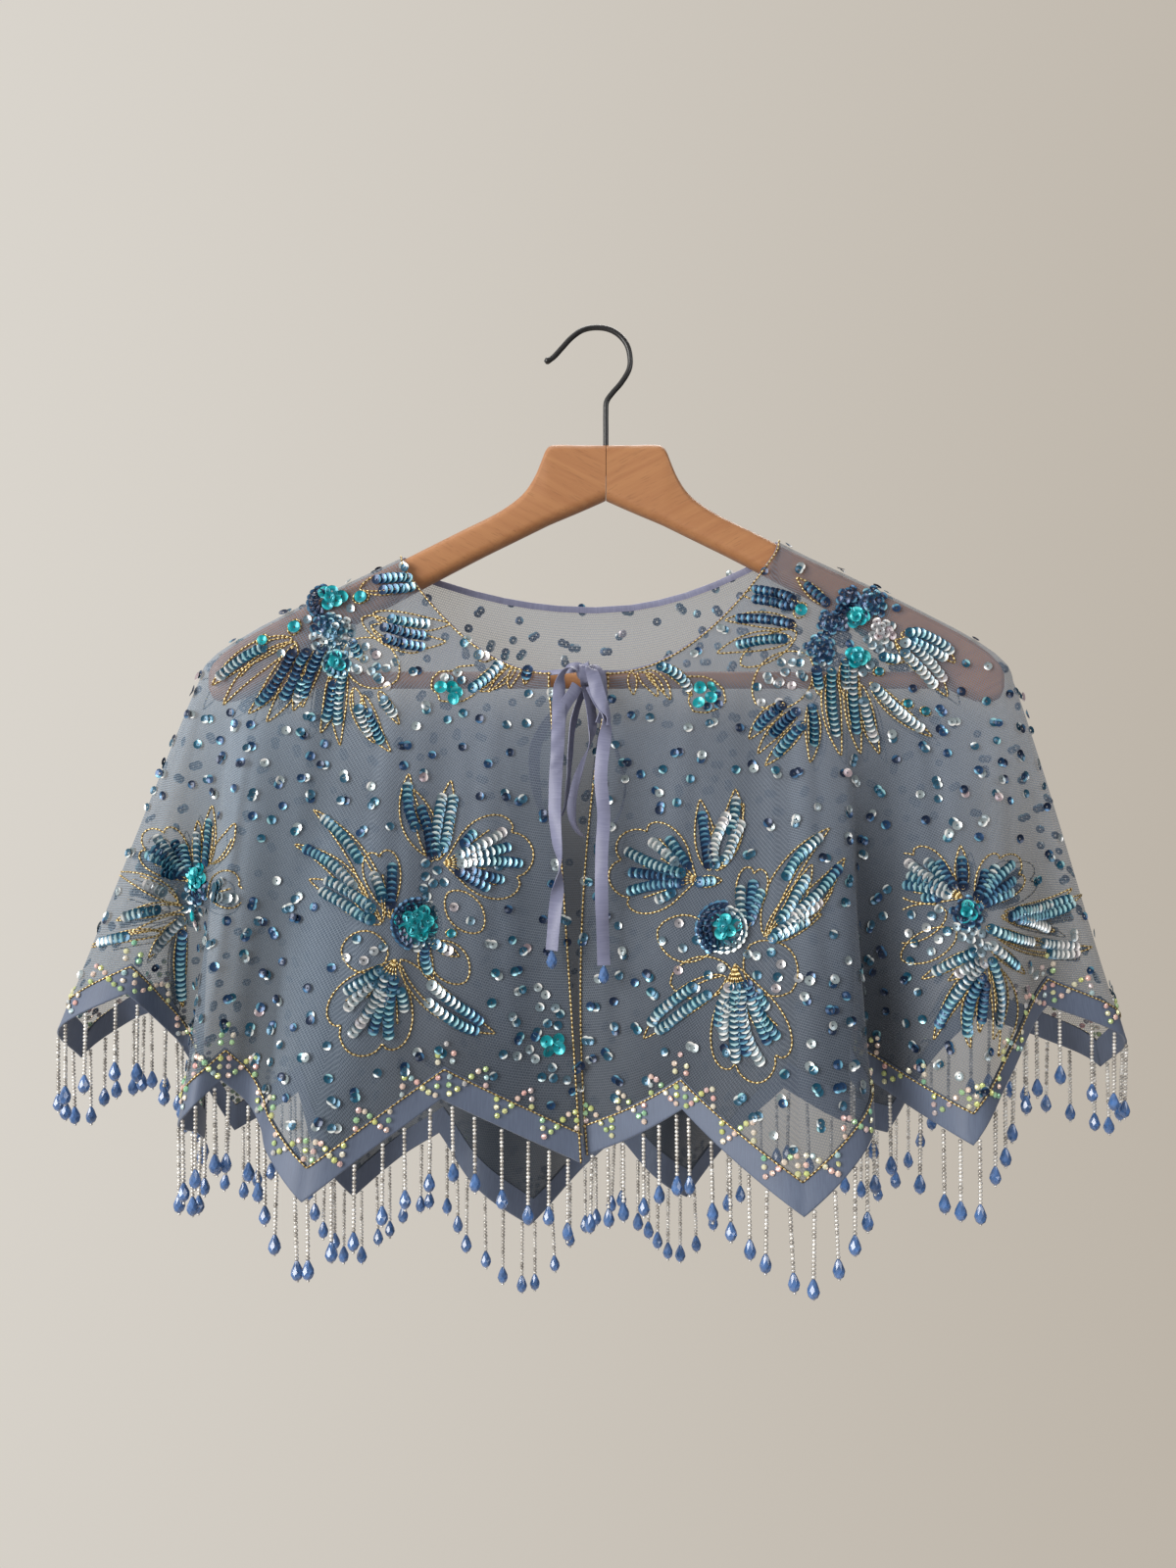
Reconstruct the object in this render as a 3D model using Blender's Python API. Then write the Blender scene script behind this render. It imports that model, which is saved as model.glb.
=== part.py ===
"""Sheer evening capelet hung on a wooden hanger, in metres, +Z up.

X runs to the right seen from the front, Y runs from the front to the back, and
the origin is the top of the hook's inner curve, where a nail or a rail holds it.

The cloth is one surface in two directions. "Turn" goes round the hem and counts
its twelve points: 0 at the left front edge, 3 at the left side seam, 6 at the
centre back, 9 at the right side seam and 12 at the right front edge. "Fall" goes
down the cloth: 0 to 1 over the hanger's arm or under the neckline, and 1 to 2
from there to the hem.
"""
import math
from collections import namedtuple

import bmesh
import bpy
import numpy as np

# Sizes below are in millimetres, and the meshes are made in metres
MM = 0.001
GAP = 0.3

# Hanger: two mitred halves, straight seen from above but for a forward sweep
HANGER_X = 6.0
HANGER_SWEEP = 18.0
HANGER_REACH = 212.0
MITRE_GAP = 0.3
ARM_HALF_THICK = 7.0
SECTION_ROUND = 5.5
ROUND_STEPS = 3

ArmStation = namedtuple("ArmStation", "reach top bottom half_thick")
ARM_STATIONS = [
    ArmStation(0.0, -64.0, -93.6, ARM_HALF_THICK),
    ArmStation(14.0, -64.0, -99.8, ARM_HALF_THICK),
    ArmStation(30.0, -64.2, -106.6, ARM_HALF_THICK),
    ArmStation(33.0, -67.0, -108.0, ARM_HALF_THICK),
    ArmStation(35.0, -72.0, -109.0, ARM_HALF_THICK),
    ArmStation(39.0, -81.5, -111.0, ARM_HALF_THICK),
    ArmStation(45.0, -90.5, -114.0, ARM_HALF_THICK),
    ArmStation(54.0, -98.0, -118.5, ARM_HALF_THICK),
    ArmStation(64.0, -104.0, -123.5, ARM_HALF_THICK),
    ArmStation(76.0, -110.0, -129.8, ARM_HALF_THICK),
    ArmStation(93.0, -118.8, -139.0, ARM_HALF_THICK),
    ArmStation(111.0, -128.2, -149.0, ARM_HALF_THICK),
    ArmStation(128.0, -136.6, -158.5, ARM_HALF_THICK),
    ArmStation(146.0, -145.6, -168.5, ARM_HALF_THICK),
    ArmStation(165.0, -155.6, -180.0, ARM_HALF_THICK),
    ArmStation(185.0, -166.6, -198.0, ARM_HALF_THICK),
    ArmStation(198.0, -174.8, -205.0, 6.9),
    ArmStation(205.0, -180.2, -206.0, 6.4),
    ArmStation(210.0, -185.6, -204.5, 5.2),
    ArmStation(212.0, -189.6, -200.5, 3.6),
]

BAR_RADIUS = 4.6
BAR_HEIGHT = -194.0
BAR_REACH = 190.5
BAR_Y = -13.6
SOCKET_END = 0.8
SOCKET_START = 120.0

WIRE_RADIUS = 1.5
HOOK_END_BALL = 1.9
STEM_DEPTH = 16.0
HOLE_CLEARANCE = 0.3
HOLE_OVERRUN = 10.0
HookPoint = namedtuple("HookPoint", "x z")
HOOK_POINTS = [
    HookPoint(6.0, -56.0),
    HookPoint(6.0, -46.0),
    HookPoint(6.4, -39.5),
    HookPoint(9.6, -34.6),
    HookPoint(14.6, -28.8),
    HookPoint(18.7, -21.8),
    HookPoint(19.4, -15.4),
    HookPoint(17.7, -8.2),
    HookPoint(13.3, -2.6),
    HookPoint(7.2, 0.7),
    HookPoint(0.0, WIRE_RADIUS),
    HookPoint(-6.8, 0.1),
    HookPoint(-12.8, -4.0),
    HookPoint(-18.2, -9.8),
    HookPoint(-22.4, -14.4),
    HookPoint(-25.6, -16.6),
    HookPoint(-28.0, -17.0),
]
HOOK_STEP = 3.0

# Turns of the cape's seams and edges
LEFT_EDGE = 0
LEFT_SEAM = 3
CENTRE_BACK = 6
RIGHT_SEAM = 9
RIGHT_EDGE = 12

# Cloth: lies this far off the wood, measured to the middle of its wall
TULLE_WALL = 1.0
BAND_WALL = 1.2
CLOTH_OFF_WOOD = 1.35
CROSSING_TURNS = 2
LEFT_CROSSING = 111.0
RIGHT_CROSSING = 94.0
OVER_ARM = 12.2
UNDER_NECK = 7.0
BELOW_ARM_LEAN = 0.1
NECK_LEAN = 0.2
WRAP_SHORTENING = 0.4
WRAP_TURN = 0.06
NECK_INSET = 2.4
TIP_TURN = 1.0
TIP_BULGE = 0.55

# Where each rib of the cloth starts, measured from the hanger's centre plane
TopRow = namedtuple("TopRow", "turn reach")
TOP_ROWS = [
    TopRow(0.0, 29.5),
    TopRow(0.5, 68.0),
    TopRow(0.94, 108.5),
    TopRow(1.0, 111.0),
    TopRow(1.25, 150.0),
    TopRow(1.5, 179.0),
    TopRow(2.0, 198.0),
    TopRow(2.5, 208.5),
    TopRow(3.0, 212.0),
    TopRow(3.5, 208.5),
    TopRow(4.0, 190.0),
    TopRow(4.5, 152.0),
    TopRow(5.0, 111.0),
    TopRow(5.06, 108.5),
    TopRow(5.5, 58.0),
    TopRow(6.0, 6.0),
    TopRow(6.5, -46.0),
    TopRow(6.94, -91.5),
    TopRow(7.0, -94.0),
    TopRow(7.5, -140.0),
    TopRow(8.0, -185.0),
    TopRow(8.25, -203.5),
    TopRow(8.5, -208.5),
    TopRow(9.0, -212.0),
    TopRow(9.5, -208.5),
    TopRow(9.75, -203.5),
    TopRow(10.0, -182.0),
    TopRow(10.35, -146.0),
    TopRow(10.62, -118.0),
    TopRow(11.0, -94.0),
    TopRow(11.06, -91.5),
    TopRow(11.5, -48.0),
    TopRow(12.0, 0.5),
]

# Neckline: parabolas between the two places where it crosses the arms
FRONT_NECK_LEVEL = -191.0
FRONT_NECK_Y = -26.0
BACK_NECK_DROP = 24.0
BACK_NECK_Y = 22.0
LEFT_EDGE_REACH = 29.5
RIGHT_EDGE_REACH = 0.5

# Hem: plan of its folds and its mean level, a row for each fold or point
HemRow = namedtuple("HemRow", "turn x y level")
HEM_ROWS = [
    HemRow(0.00, -6, -36, -425),
    HemRow(0.25, -42, -45, -429),
    HemRow(0.50, -78, -55, -432),
    HemRow(0.75, -112, -71, -431),
    HemRow(1.00, -142, -81, -429),
    HemRow(1.18, -162, -68, -426),
    HemRow(1.28, -168, -58, -425),
    HemRow(1.38, -176, -54, -423),
    HemRow(1.50, -187, -61, -421),
    HemRow(1.64, -199, -71, -420),
    HemRow(1.78, -210, -56, -420),
    HemRow(1.90, -209, -32, -419),
    HemRow(2.00, -211, -14, -418),
    HemRow(2.12, -215, -1, -410),
    HemRow(2.25, -224, 4, -401),
    HemRow(2.38, -236, -10, -392),
    HemRow(2.50, -248, -26, -384),
    HemRow(2.75, -287, -18, -381),
    HemRow(3.00, -291, 18, -382),
    HemRow(3.25, -270, 30, -388),
    HemRow(3.50, -246, 16, -400),
    HemRow(3.75, -228, 28, -416),
    HemRow(4.00, -213, 48, -432),
    HemRow(4.25, -190, 58, -443),
    HemRow(4.50, -172, 36, -452),
    HemRow(4.75, -158, 22, -461),
    HemRow(5.00, -142, 44, -470),
    HemRow(5.25, -118, 63, -476),
    HemRow(5.50, -92, 50, -480),
    HemRow(5.75, -68, 30, -483),
    HemRow(6.00, -38, 42, -486),
    HemRow(6.25, -10, 60, -484),
    HemRow(6.50, 14, 48, -481),
    HemRow(6.75, 34, 30, -476),
    HemRow(7.00, 54, 44, -470),
    HemRow(7.25, 84, 62, -462),
    HemRow(7.50, 112, 48, -453),
    HemRow(7.75, 140, 30, -443),
    HemRow(8.00, 172, 44, -432),
    HemRow(8.25, 200, 60, -420),
    HemRow(8.50, 224, 40, -408),
    HemRow(8.75, 258, 36, -397),
    HemRow(9.00, 290, 26, -389),
    HemRow(9.25, 288, -8, -388),
    HemRow(9.50, 243, -16, -392),
    HemRow(9.75, 214, -42, -400),
    HemRow(10.00, 189, -60, -408),
    HemRow(10.20, 168, -38, -416),
    HemRow(10.35, 150, -16, -420),
    HemRow(10.50, 134, -28, -425),
    HemRow(10.62, 140, -56, -429),
    HemRow(10.74, 130, -75, -432),
    HemRow(11.00, 100, -84, -435),
    HemRow(11.25, 70, -70, -437),
    HemRow(11.50, 44, -52, -438),
    HemRow(11.75, 20, -41, -432),
    HemRow(12.00, -5, -31, -422),
]

# Plan of the hem with its folds shaken out, which the cloth follows higher up
PlainRow = namedtuple("PlainRow", "turn x y")
PLAIN_ROWS = [
    PlainRow(0, -6, -36),
    PlainRow(1, -135, -62),
    PlainRow(2, -222, -46),
    PlainRow(3, -292, 2),
    PlainRow(4, -215, 38),
    PlainRow(5, -125, 43),
    PlainRow(6, -22, 46),
    PlainRow(7, 72, 46),
    PlainRow(8, 176, 42),
    PlainRow(9, 292, 2),
    PlainRow(10, 205, -52),
    PlainRow(11, 95, -64),
    PlainRow(12, -5, -31),
]
FOLD_GROWTH = 1.7
SPREAD_GROWTH = 0.94
RIGHT_EDGE_BOW = -8.0

# Hem points, band and fringe
POINT_PITCH = 155.0
POINT_HEIGHT = 23.0
POINT_FLAT = 0.006
BAND_HEIGHT = 16.0
BAND_GAP = 0.5
STRANDS_PER_POINT = 10
STRIP_HEIGHT = 1.7
STRIP_WALL = 1.4
STRIP_GAP = 0.95
STRAND_WIDTH = 1.6
STRAND_LENGTH = 33.0
STRAND_NECK = 1.1
DROP_LENGTH = 10.0
DROP_WIDTH = 4.8
DROP_WIDEST = 0.62
DROP_END = 1.0

# Grid of the cloth
TURN_STEPS = (POINT_FLAT, 0.15, 0.25, 0.35, 0.5 - POINT_FLAT)
SEAM_CLEAR = 0.2
NECK_TURNS = (0.94, 0.97, 5.03, 5.06, 6.94, 6.97, 11.03, 11.06)
WRAP_ROWS = 4
FALL_ROWS = (0.13, 0.3, 0.48, 0.66, 0.83, 1.0)

# Binding round the neck, the bow and its two tails
BINDING_WIDTH = 3.6
BINDING_WALL = 1.6
KNOT_CENTRE = (-5.6, -31.0, -191.5)
KNOT_SIZE = (13.0, 12.0, 13.0)
RIBBON_WIDTH = 6.8
RIBBON_WALL = 1.0
RIBBON_STEP = 4.0

# Ribbon paths: a point, and how far the ribbon has turned from facing the front
RibbonPoint = namedtuple("RibbonPoint", "x y z turned")
LOOP_LEFT = [
    RibbonPoint(-9.6, -27.6, -198.6, 60),
    RibbonPoint(-17.0, -23.0, -208.0, 50),
    RibbonPoint(-26.0, -20.0, -218.0, 45),
    RibbonPoint(-31.5, -19.0, -229.0, 45),
    RibbonPoint(-32.6, -18.6, -241.0, 50),
    RibbonPoint(-31.4, -18.6, -253.0, 60),
    RibbonPoint(-28.6, -18.8, -264.0, 75),
    RibbonPoint(-22.4, -19.6, -270.5, 85),
    RibbonPoint(-16.6, -20.6, -264.0, 80),
    RibbonPoint(-14.6, -21.6, -252.0, 75),
    RibbonPoint(-13.4, -23.0, -236.0, 70),
    RibbonPoint(-12.0, -24.5, -220.0, 65),
    RibbonPoint(-9.0, -26.4, -208.0, 62),
    RibbonPoint(-5.2, -27.6, -198.6, 60),
]
LOOP_RIGHT = [
    RibbonPoint(-5.2, -30.6, -198.6, 66),
    RibbonPoint(-2.6, -31.2, -210.0, 66),
    RibbonPoint(-1.0, -31.6, -222.0, 66),
    RibbonPoint(-3.4, -31.6, -234.0, 68),
    RibbonPoint(-8.4, -31.6, -248.0, 72),
    RibbonPoint(-12.0, -31.0, -261.0, 80),
    RibbonPoint(-11.6, -28.6, -271.0, 96),
    RibbonPoint(-6.6, -25.0, -277.4, 112),
    RibbonPoint(0.8, -21.6, -278.6, 114),
    RibbonPoint(8.4, -19.2, -273.6, 104),
    RibbonPoint(14.2, -18.2, -263.0, 92),
    RibbonPoint(16.2, -18.2, -250.0, 82),
    RibbonPoint(12.6, -19.0, -236.0, 74),
    RibbonPoint(7.6, -20.8, -222.0, 68),
    RibbonPoint(3.0, -23.6, -210.0, 64),
    RibbonPoint(-1.0, -27.6, -198.6, 60),
]
TAIL_LEFT = [
    RibbonPoint(-9.4, -34.8, -198.7, 8),
    RibbonPoint(-11.2, -36.8, -202.4, 12),
    RibbonPoint(-14.8, -39.0, -207.6, 16),
    RibbonPoint(-18.2, -40.6, -215.0, 20),
    RibbonPoint(-19.2, -41.6, -228.0, 12),
    RibbonPoint(-20.4, -42.4, -246.0, 10),
    RibbonPoint(-20.9, -42.8, -264.0, 6),
    RibbonPoint(-19.4, -43.0, -281.0, 24),
    RibbonPoint(-18.2, -43.2, -292.0, 52),
    RibbonPoint(-19.4, -43.4, -302.0, 24),
    RibbonPoint(-20.6, -43.6, -314.0, 6),
    RibbonPoint(-22.4, -44.0, -335.5, 8),
]
TAIL_RIGHT = [
    RibbonPoint(-1.8, -34.8, -198.7, -8),
    RibbonPoint(-0.2, -36.8, -202.4, -12),
    RibbonPoint(2.4, -39.2, -208.4, -16),
    RibbonPoint(5.2, -41.0, -218.0, -12),
    RibbonPoint(4.4, -41.8, -228.0, -18),
    RibbonPoint(2.8, -42.6, -246.5, -8),
    RibbonPoint(4.3, -43.2, -266.0, 0),
    RibbonPoint(3.3, -43.6, -285.0, -6),
    RibbonPoint(3.2, -44.0, -308.0, 0),
    RibbonPoint(3.8, -44.4, -327.0, 4),
    RibbonPoint(4.3, -44.8, -343.0, 8),
]
TIE_DROP_LENGTH = 9.0
TIE_DROP_WIDTH = 5.0
TIE_DROP_SIDES = 8
DROP_BELOW_TAIL = 0.45

# Colours, roughness and metallic value of each finish
Finish = namedtuple("Finish", "red green blue rough metal")
FINISHES = {
    "wood": Finish(0.44, 0.20, 0.08, 0.45, 0.0),
    "wire": Finish(0.012, 0.012, 0.013, 0.35, 1.0),
    "tulle": Finish(0.20, 0.23, 0.26, 0.8, 0.0),
    "band": Finish(0.20, 0.25, 0.34, 0.5, 0.0),
    "ribbon": Finish(0.27, 0.28, 0.40, 0.45, 0.0),
    "beads": Finish(0.10, 0.19, 0.40, 0.1, 0.0),
}


def clear_scene():
    for thing in list(bpy.data.objects):
        bpy.data.objects.remove(thing, do_unlink=True)


def make_material(name):
    finish = FINISHES[name]
    material = bpy.data.materials.get(name)
    if material is None:
        material = bpy.data.materials.new(name)
        material.use_nodes = True
        shader = material.node_tree.nodes["Principled BSDF"]
        shader.inputs["Base Color"].default_value = (finish.red, finish.green, finish.blue, 1.0)
        shader.inputs["Roughness"].default_value = finish.rough
        shader.inputs["Metallic"].default_value = finish.metal
    return material


def make_node(name, points, faces, finish, smooth_angle=40.0):
    """One closed solid from points in millimetres, faces turned outwards."""
    mesh = bpy.data.meshes.new(name)
    mesh.from_pydata([tuple(float(v) * MM for v in p) for p in points], [], faces)
    work = bmesh.new()
    work.from_mesh(mesh)
    bmesh.ops.recalc_face_normals(work, faces=work.faces[:])
    work.to_mesh(mesh)
    work.free()
    mesh.shade_smooth()
    mesh.set_sharp_from_angle(angle=math.radians(smooth_angle))
    mesh.materials.append(make_material(finish))
    node = bpy.data.objects.new(name, mesh)
    bpy.context.collection.objects.link(node)
    return node


def smooth_step(value):
    value = min(1.0, max(0.0, value))
    return value * value * (3.0 - 2.0 * value)


def spline(rows, at):
    """Smooth curve through rows whose first column is the running value."""
    keys = [row[0] for row in rows]
    at = min(max(at, keys[0]), keys[-1])
    last = len(rows) - 1
    i = 0
    while i < last - 1 and at > keys[i + 1]:
        i += 1

    def slope(k):
        low, high = max(k - 1, 0), min(k + 1, last)
        span = keys[high] - keys[low]
        return (np.array(rows[high][1:], float) - np.array(rows[low][1:], float)) / span

    width = keys[i + 1] - keys[i]
    t = (at - keys[i]) / width
    start = np.array(rows[i][1:], float)
    end = np.array(rows[i + 1][1:], float)
    return (
        start * (2 * t**3 - 3 * t**2 + 1)
        + slope(i) * width * (t**3 - 2 * t**2 + t)
        + end * (3 * t**2 - 2 * t**3)
        + slope(i + 1) * width * (t**3 - t**2)
    )


def arm_sweep(reach):
    return -HANGER_SWEEP * (abs(reach) / HANGER_REACH) ** 2


def arm_top(reach):
    reach = min(abs(reach), HANGER_REACH)
    return float(np.interp(reach, [s.reach for s in ARM_STATIONS], [s.top for s in ARM_STATIONS]))


def ridge(reach):
    """Point of the cloth's middle over the arm's top edge, at this reach."""
    reach = abs(reach)
    step = 3.0
    low, high = reach - step, min(reach + step, HANGER_REACH)
    run, rise = high - low, arm_top(high) - arm_top(low)
    length = math.hypot(run, rise)
    return (
        reach - rise / length * CLOTH_OFF_WOOD,
        arm_sweep(reach),
        arm_top(reach) + run / length * CLOTH_OFF_WOOD,
    )


def section_angle(distance):
    """How far the arm's rounded edge has turned at this way down from the ridge."""
    flat = ARM_HALF_THICK - SECTION_ROUND
    return min(max((distance - flat) / (SECTION_ROUND + CLOTH_OFF_WOOD), 0.0), math.pi / 2)


def round_section(distance):
    """Way down from the ridge over the arm's rounded edge: outward and downward part."""
    flat = ARM_HALF_THICK - SECTION_ROUND
    radius = SECTION_ROUND + CLOTH_OFF_WOOD
    angle = section_angle(distance)
    below = max(distance - flat - radius * math.pi / 2, 0.0)
    away = min(distance, flat) + radius * math.sin(angle) + BELOW_ARM_LEAN * below
    return away, radius * (1.0 - math.cos(angle)) + below


def rib_side(turn):
    """Side of the hanger, side of the cloth and turn of the nearest crossing and seam."""
    side, seam = (-1.0, LEFT_SEAM) if turn < CENTRE_BACK else (1.0, RIGHT_SEAM)
    facing = -1.0 if turn <= LEFT_SEAM or turn > RIGHT_SEAM else 1.0
    return side, facing, seam + side * facing * -CROSSING_TURNS, seam


def past_crossing(turn):
    """0 where the neckline crosses the arm, 1 where it has come round the arm's edge."""
    _, _, cross_turn, side_turn = rib_side(turn)
    return (abs(turn - side_turn) - abs(cross_turn - side_turn)) / WRAP_TURN


def wrapped_distance(wrap, part):
    return OVER_ARM * wrap + OVER_ARM * part * (1.0 - WRAP_SHORTENING * wrap)


def rib_top(turn, part):
    """Point of the cloth in the stretch above its free fall, part 0 to 1."""
    reach = float(spline(TOP_ROWS, turn)[0])
    side, facing, _, side_turn = rib_side(turn)
    crossing = LEFT_CROSSING if side < 0 else RIGHT_CROSSING
    past = past_crossing(turn)
    if past <= 0.0:
        out_x, y, z = ridge(reach)
        away, down = round_section(OVER_ARM * part)
        angle = math.pi / 2 * max(0.0, 1.0 - abs(turn - side_turn) / TIP_TURN)
        x = out_x + math.sin(angle) * TIP_BULGE * away
        return np.array((HANGER_X + side * x, y + facing * away * math.cos(angle), z - down))
    wrap = min(past, 1.0)
    out_x, ridge_y, ridge_z = ridge(crossing - NECK_INSET * wrap)
    if past <= 1.0:
        away, down = round_section(wrapped_distance(wrap, part))
        return np.array((HANGER_X + side * out_x, ridge_y + facing * away, ridge_z - down))
    x = HANGER_X - reach
    start_x = HANGER_X + side * out_x
    away, down = round_section(OVER_ARM)
    start_y, start_z = ridge_y + facing * away, ridge_z - down
    drop = UNDER_NECK * part
    if facing < 0:
        edge_reach = LEFT_EDGE_REACH if side < 0 else RIGHT_EDGE_REACH
        t = (x - start_x) / (HANGER_X - edge_reach - start_x)
        y = start_y + (FRONT_NECK_Y - start_y) * t**0.8
        z = FRONT_NECK_LEVEL + (start_z - FRONT_NECK_LEVEL) * (1.0 - t) ** 2
    else:
        middle = HANGER_X - spline(TOP_ROWS, 6.0)[0]
        t = (x - start_x) / (middle - start_x)
        y = start_y + (BACK_NECK_Y - start_y) * (1.0 - (1.0 - t) ** 2)
        low = ridge(LEFT_CROSSING)[2] - BACK_NECK_DROP
        z = low + (start_z - low) * (1.0 - t) ** 2
    return np.array((x, y + facing * NECK_LEAN * drop, z - drop))


def point_wave(turn):
    """-1 at the tip of each hem point, +1 at the notch between two, with short flats."""
    off = abs(turn - round(turn))
    off = min(max(off, POINT_FLAT), 0.5 - POINT_FLAT)
    return 4.0 * off - 1.0


def hem_point(turn):
    x, y, level = spline(HEM_ROWS, turn)
    return np.array((x, y, level + POINT_HEIGHT * point_wave(turn)))


def cloth(turn, fall):
    """Middle of the cloth's wall."""
    if fall <= 1.0:
        return rib_top(turn, fall)
    start = rib_top(turn, 1.0)
    share = fall - 1.0
    hem = hem_point(turn)
    plain = spline(PLAIN_ROWS, turn)
    spread = share**SPREAD_GROWTH
    folds = share**FOLD_GROWTH
    x = start[0] + (plain[0] - start[0]) * spread + (hem[0] - plain[0]) * folds
    y = start[1] + (plain[1] - start[1]) * spread + (hem[1] - plain[1]) * folds
    if turn > 11.0:
        x += RIGHT_EDGE_BOW * 4.0 * share * (1.0 - share) * smooth_step(turn - 11.0)
    return np.array((x, y, start[2] + (hem[2] - start[2]) * share))


def cloth_normal(turn, fall):
    """Direction out of the cape, square to the cloth."""
    reach_turn, reach_fall = 0.02, 0.02
    past = past_crossing(turn)
    if fall <= 0.0 and past <= 1.0:
        side, facing, cross_turn, _ = rib_side(turn)
        wrap = max(past, 0.0)
        reach = float(spline(TOP_ROWS, turn if past <= 0.0 else cross_turn)[0])
        out_x, _, out_z = ridge(reach)
        rise = np.array((side * (out_x - abs(reach)), 0.0, out_z - arm_top(reach))) / CLOTH_OFF_WOOD
        angle = section_angle(wrapped_distance(wrap, 0.0))
        return rise * math.cos(angle) + np.array((0.0, facing, 0.0)) * math.sin(angle)
    low, high = max(turn - reach_turn, 0.0), min(turn + reach_turn, 12.0)
    along = cloth(high, fall) - cloth(low, fall)
    down = cloth(turn, fall + reach_fall) - cloth(turn, max(fall - reach_fall, 0.0))
    normal = np.cross(along, down)
    return normal / np.linalg.norm(normal)


def on_arm(turn):
    return past_crossing(turn) <= 0.0


def turn_list(first, last):
    """Columns of the grid, with a short flat at every tip and notch."""
    turns = []
    halves = int(round((last - first) * 2))
    for half in range(halves):
        turns += [first + 0.5 * half + step for step in TURN_STEPS]
    turns[0] = first
    turns[-1] = last
    seams = (LEFT_SEAM, RIGHT_SEAM)
    turns = [t for t in turns if t in seams or min(abs(t - s) for s in seams) > SEAM_CLEAR]
    return sorted(turns + [t for t in NECK_TURNS if first < t < last])


def wall(name, turns, falls, thick, finish):
    """Wall of cloth through a grid, with its two side edges parted from its neighbours."""
    middle = [[cloth(t, f(t)) for f in falls] for t in turns]
    normal = [[cloth_normal(t, f(t)) for f in falls] for t in turns]
    for i, turn in enumerate(turns):
        if falls[0](turn) == 0.0 and on_arm(turn):
            facing = 1.0 if turns[0] == LEFT_SEAM else -1.0
            middle[i][0][1] += facing * 0.5 * GAP
    for edge, inner in ((0, 1), (-1, -2)):
        for j in range(len(falls)):
            way = middle[inner][j] - middle[edge][j]
            way = way - normal[edge][j] * np.dot(way, normal[edge][j])
            middle[edge][j] = middle[edge][j] + way / np.linalg.norm(way) * 0.5 * GAP
    seam_after = [t < LEFT_SEAM or CENTRE_BACK <= t < RIGHT_SEAM for t in turns]
    return grid_solid(name, middle, normal, thick, finish, seam_after)


def grid_solid(name, middle, normal, thick, finish, seam_after):
    """Closed wall on a grid, each cell's diagonal running down away from the nearest seam."""
    columns, rows = len(middle), len(middle[0])
    points = []
    for side in (0.5, -0.5):
        for i in range(columns):
            for j in range(rows):
                points.append(middle[i][j] + normal[i][j] * thick * side)
    back = columns * rows
    faces = []
    for i in range(columns - 1):
        for j in range(rows - 1):
            a, b = i * rows + j, (i + 1) * rows + j
            if seam_after[i]:
                halves = ((a, b, a + 1), (b, b + 1, a + 1))
            else:
                halves = ((a, b, b + 1), (a, b + 1, a + 1))
            for half in halves:
                faces.append(half)
                faces.append(tuple(back + k for k in half[::-1]))
    for i in range(columns - 1):
        a, b = i * rows, (i + 1) * rows
        faces.append((a, back + a, back + b, b))
        a, b = a + rows - 1, b + rows - 1
        faces.append((a, b, back + b, back + a))
    for j in range(rows - 1):
        faces.append((j, j + 1, back + j + 1, back + j))
        a = (columns - 1) * rows + j
        faces.append((a, back + a, back + a + 1, a + 1))
    return make_node(name, points, faces, finish)


def band_fall(turn, above_hem):
    """Fall of the line that runs this far above the hem's edge."""
    height = cloth(turn, 1.0)[2] - hem_point(turn)[2]
    return 2.0 - above_hem / height


def panel(name, first, last):
    wrap = [lambda t, k=k: k / WRAP_ROWS for k in range(WRAP_ROWS + 1)]
    hang = [lambda t, k=k: 1.0 + (band_fall(t, BAND_HEIGHT) - 1.0) * k for k in FALL_ROWS]
    return wall(name, turn_list(first, last), wrap + hang, TULLE_WALL, "tulle")


def hem_band(name, first, last):
    heights = (BAND_HEIGHT - BAND_GAP, 0.5 * BAND_HEIGHT, 0.0)
    falls = [lambda t, h=h: band_fall(t, h) for h in heights]
    return wall(name, turn_list(first, last), falls, BAND_WALL, "band")


def hem_line(first, last):
    """Edge of the band as its own corners give it, keyed by turn."""
    turns = turn_list(first, last)
    return turns, [cloth(t, 2.0) for t in turns]


def on_line(line, turn):
    turns, spots = line
    return np.array([np.interp(turn, turns, [p[c] for p in spots]) for c in range(3)])


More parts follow.
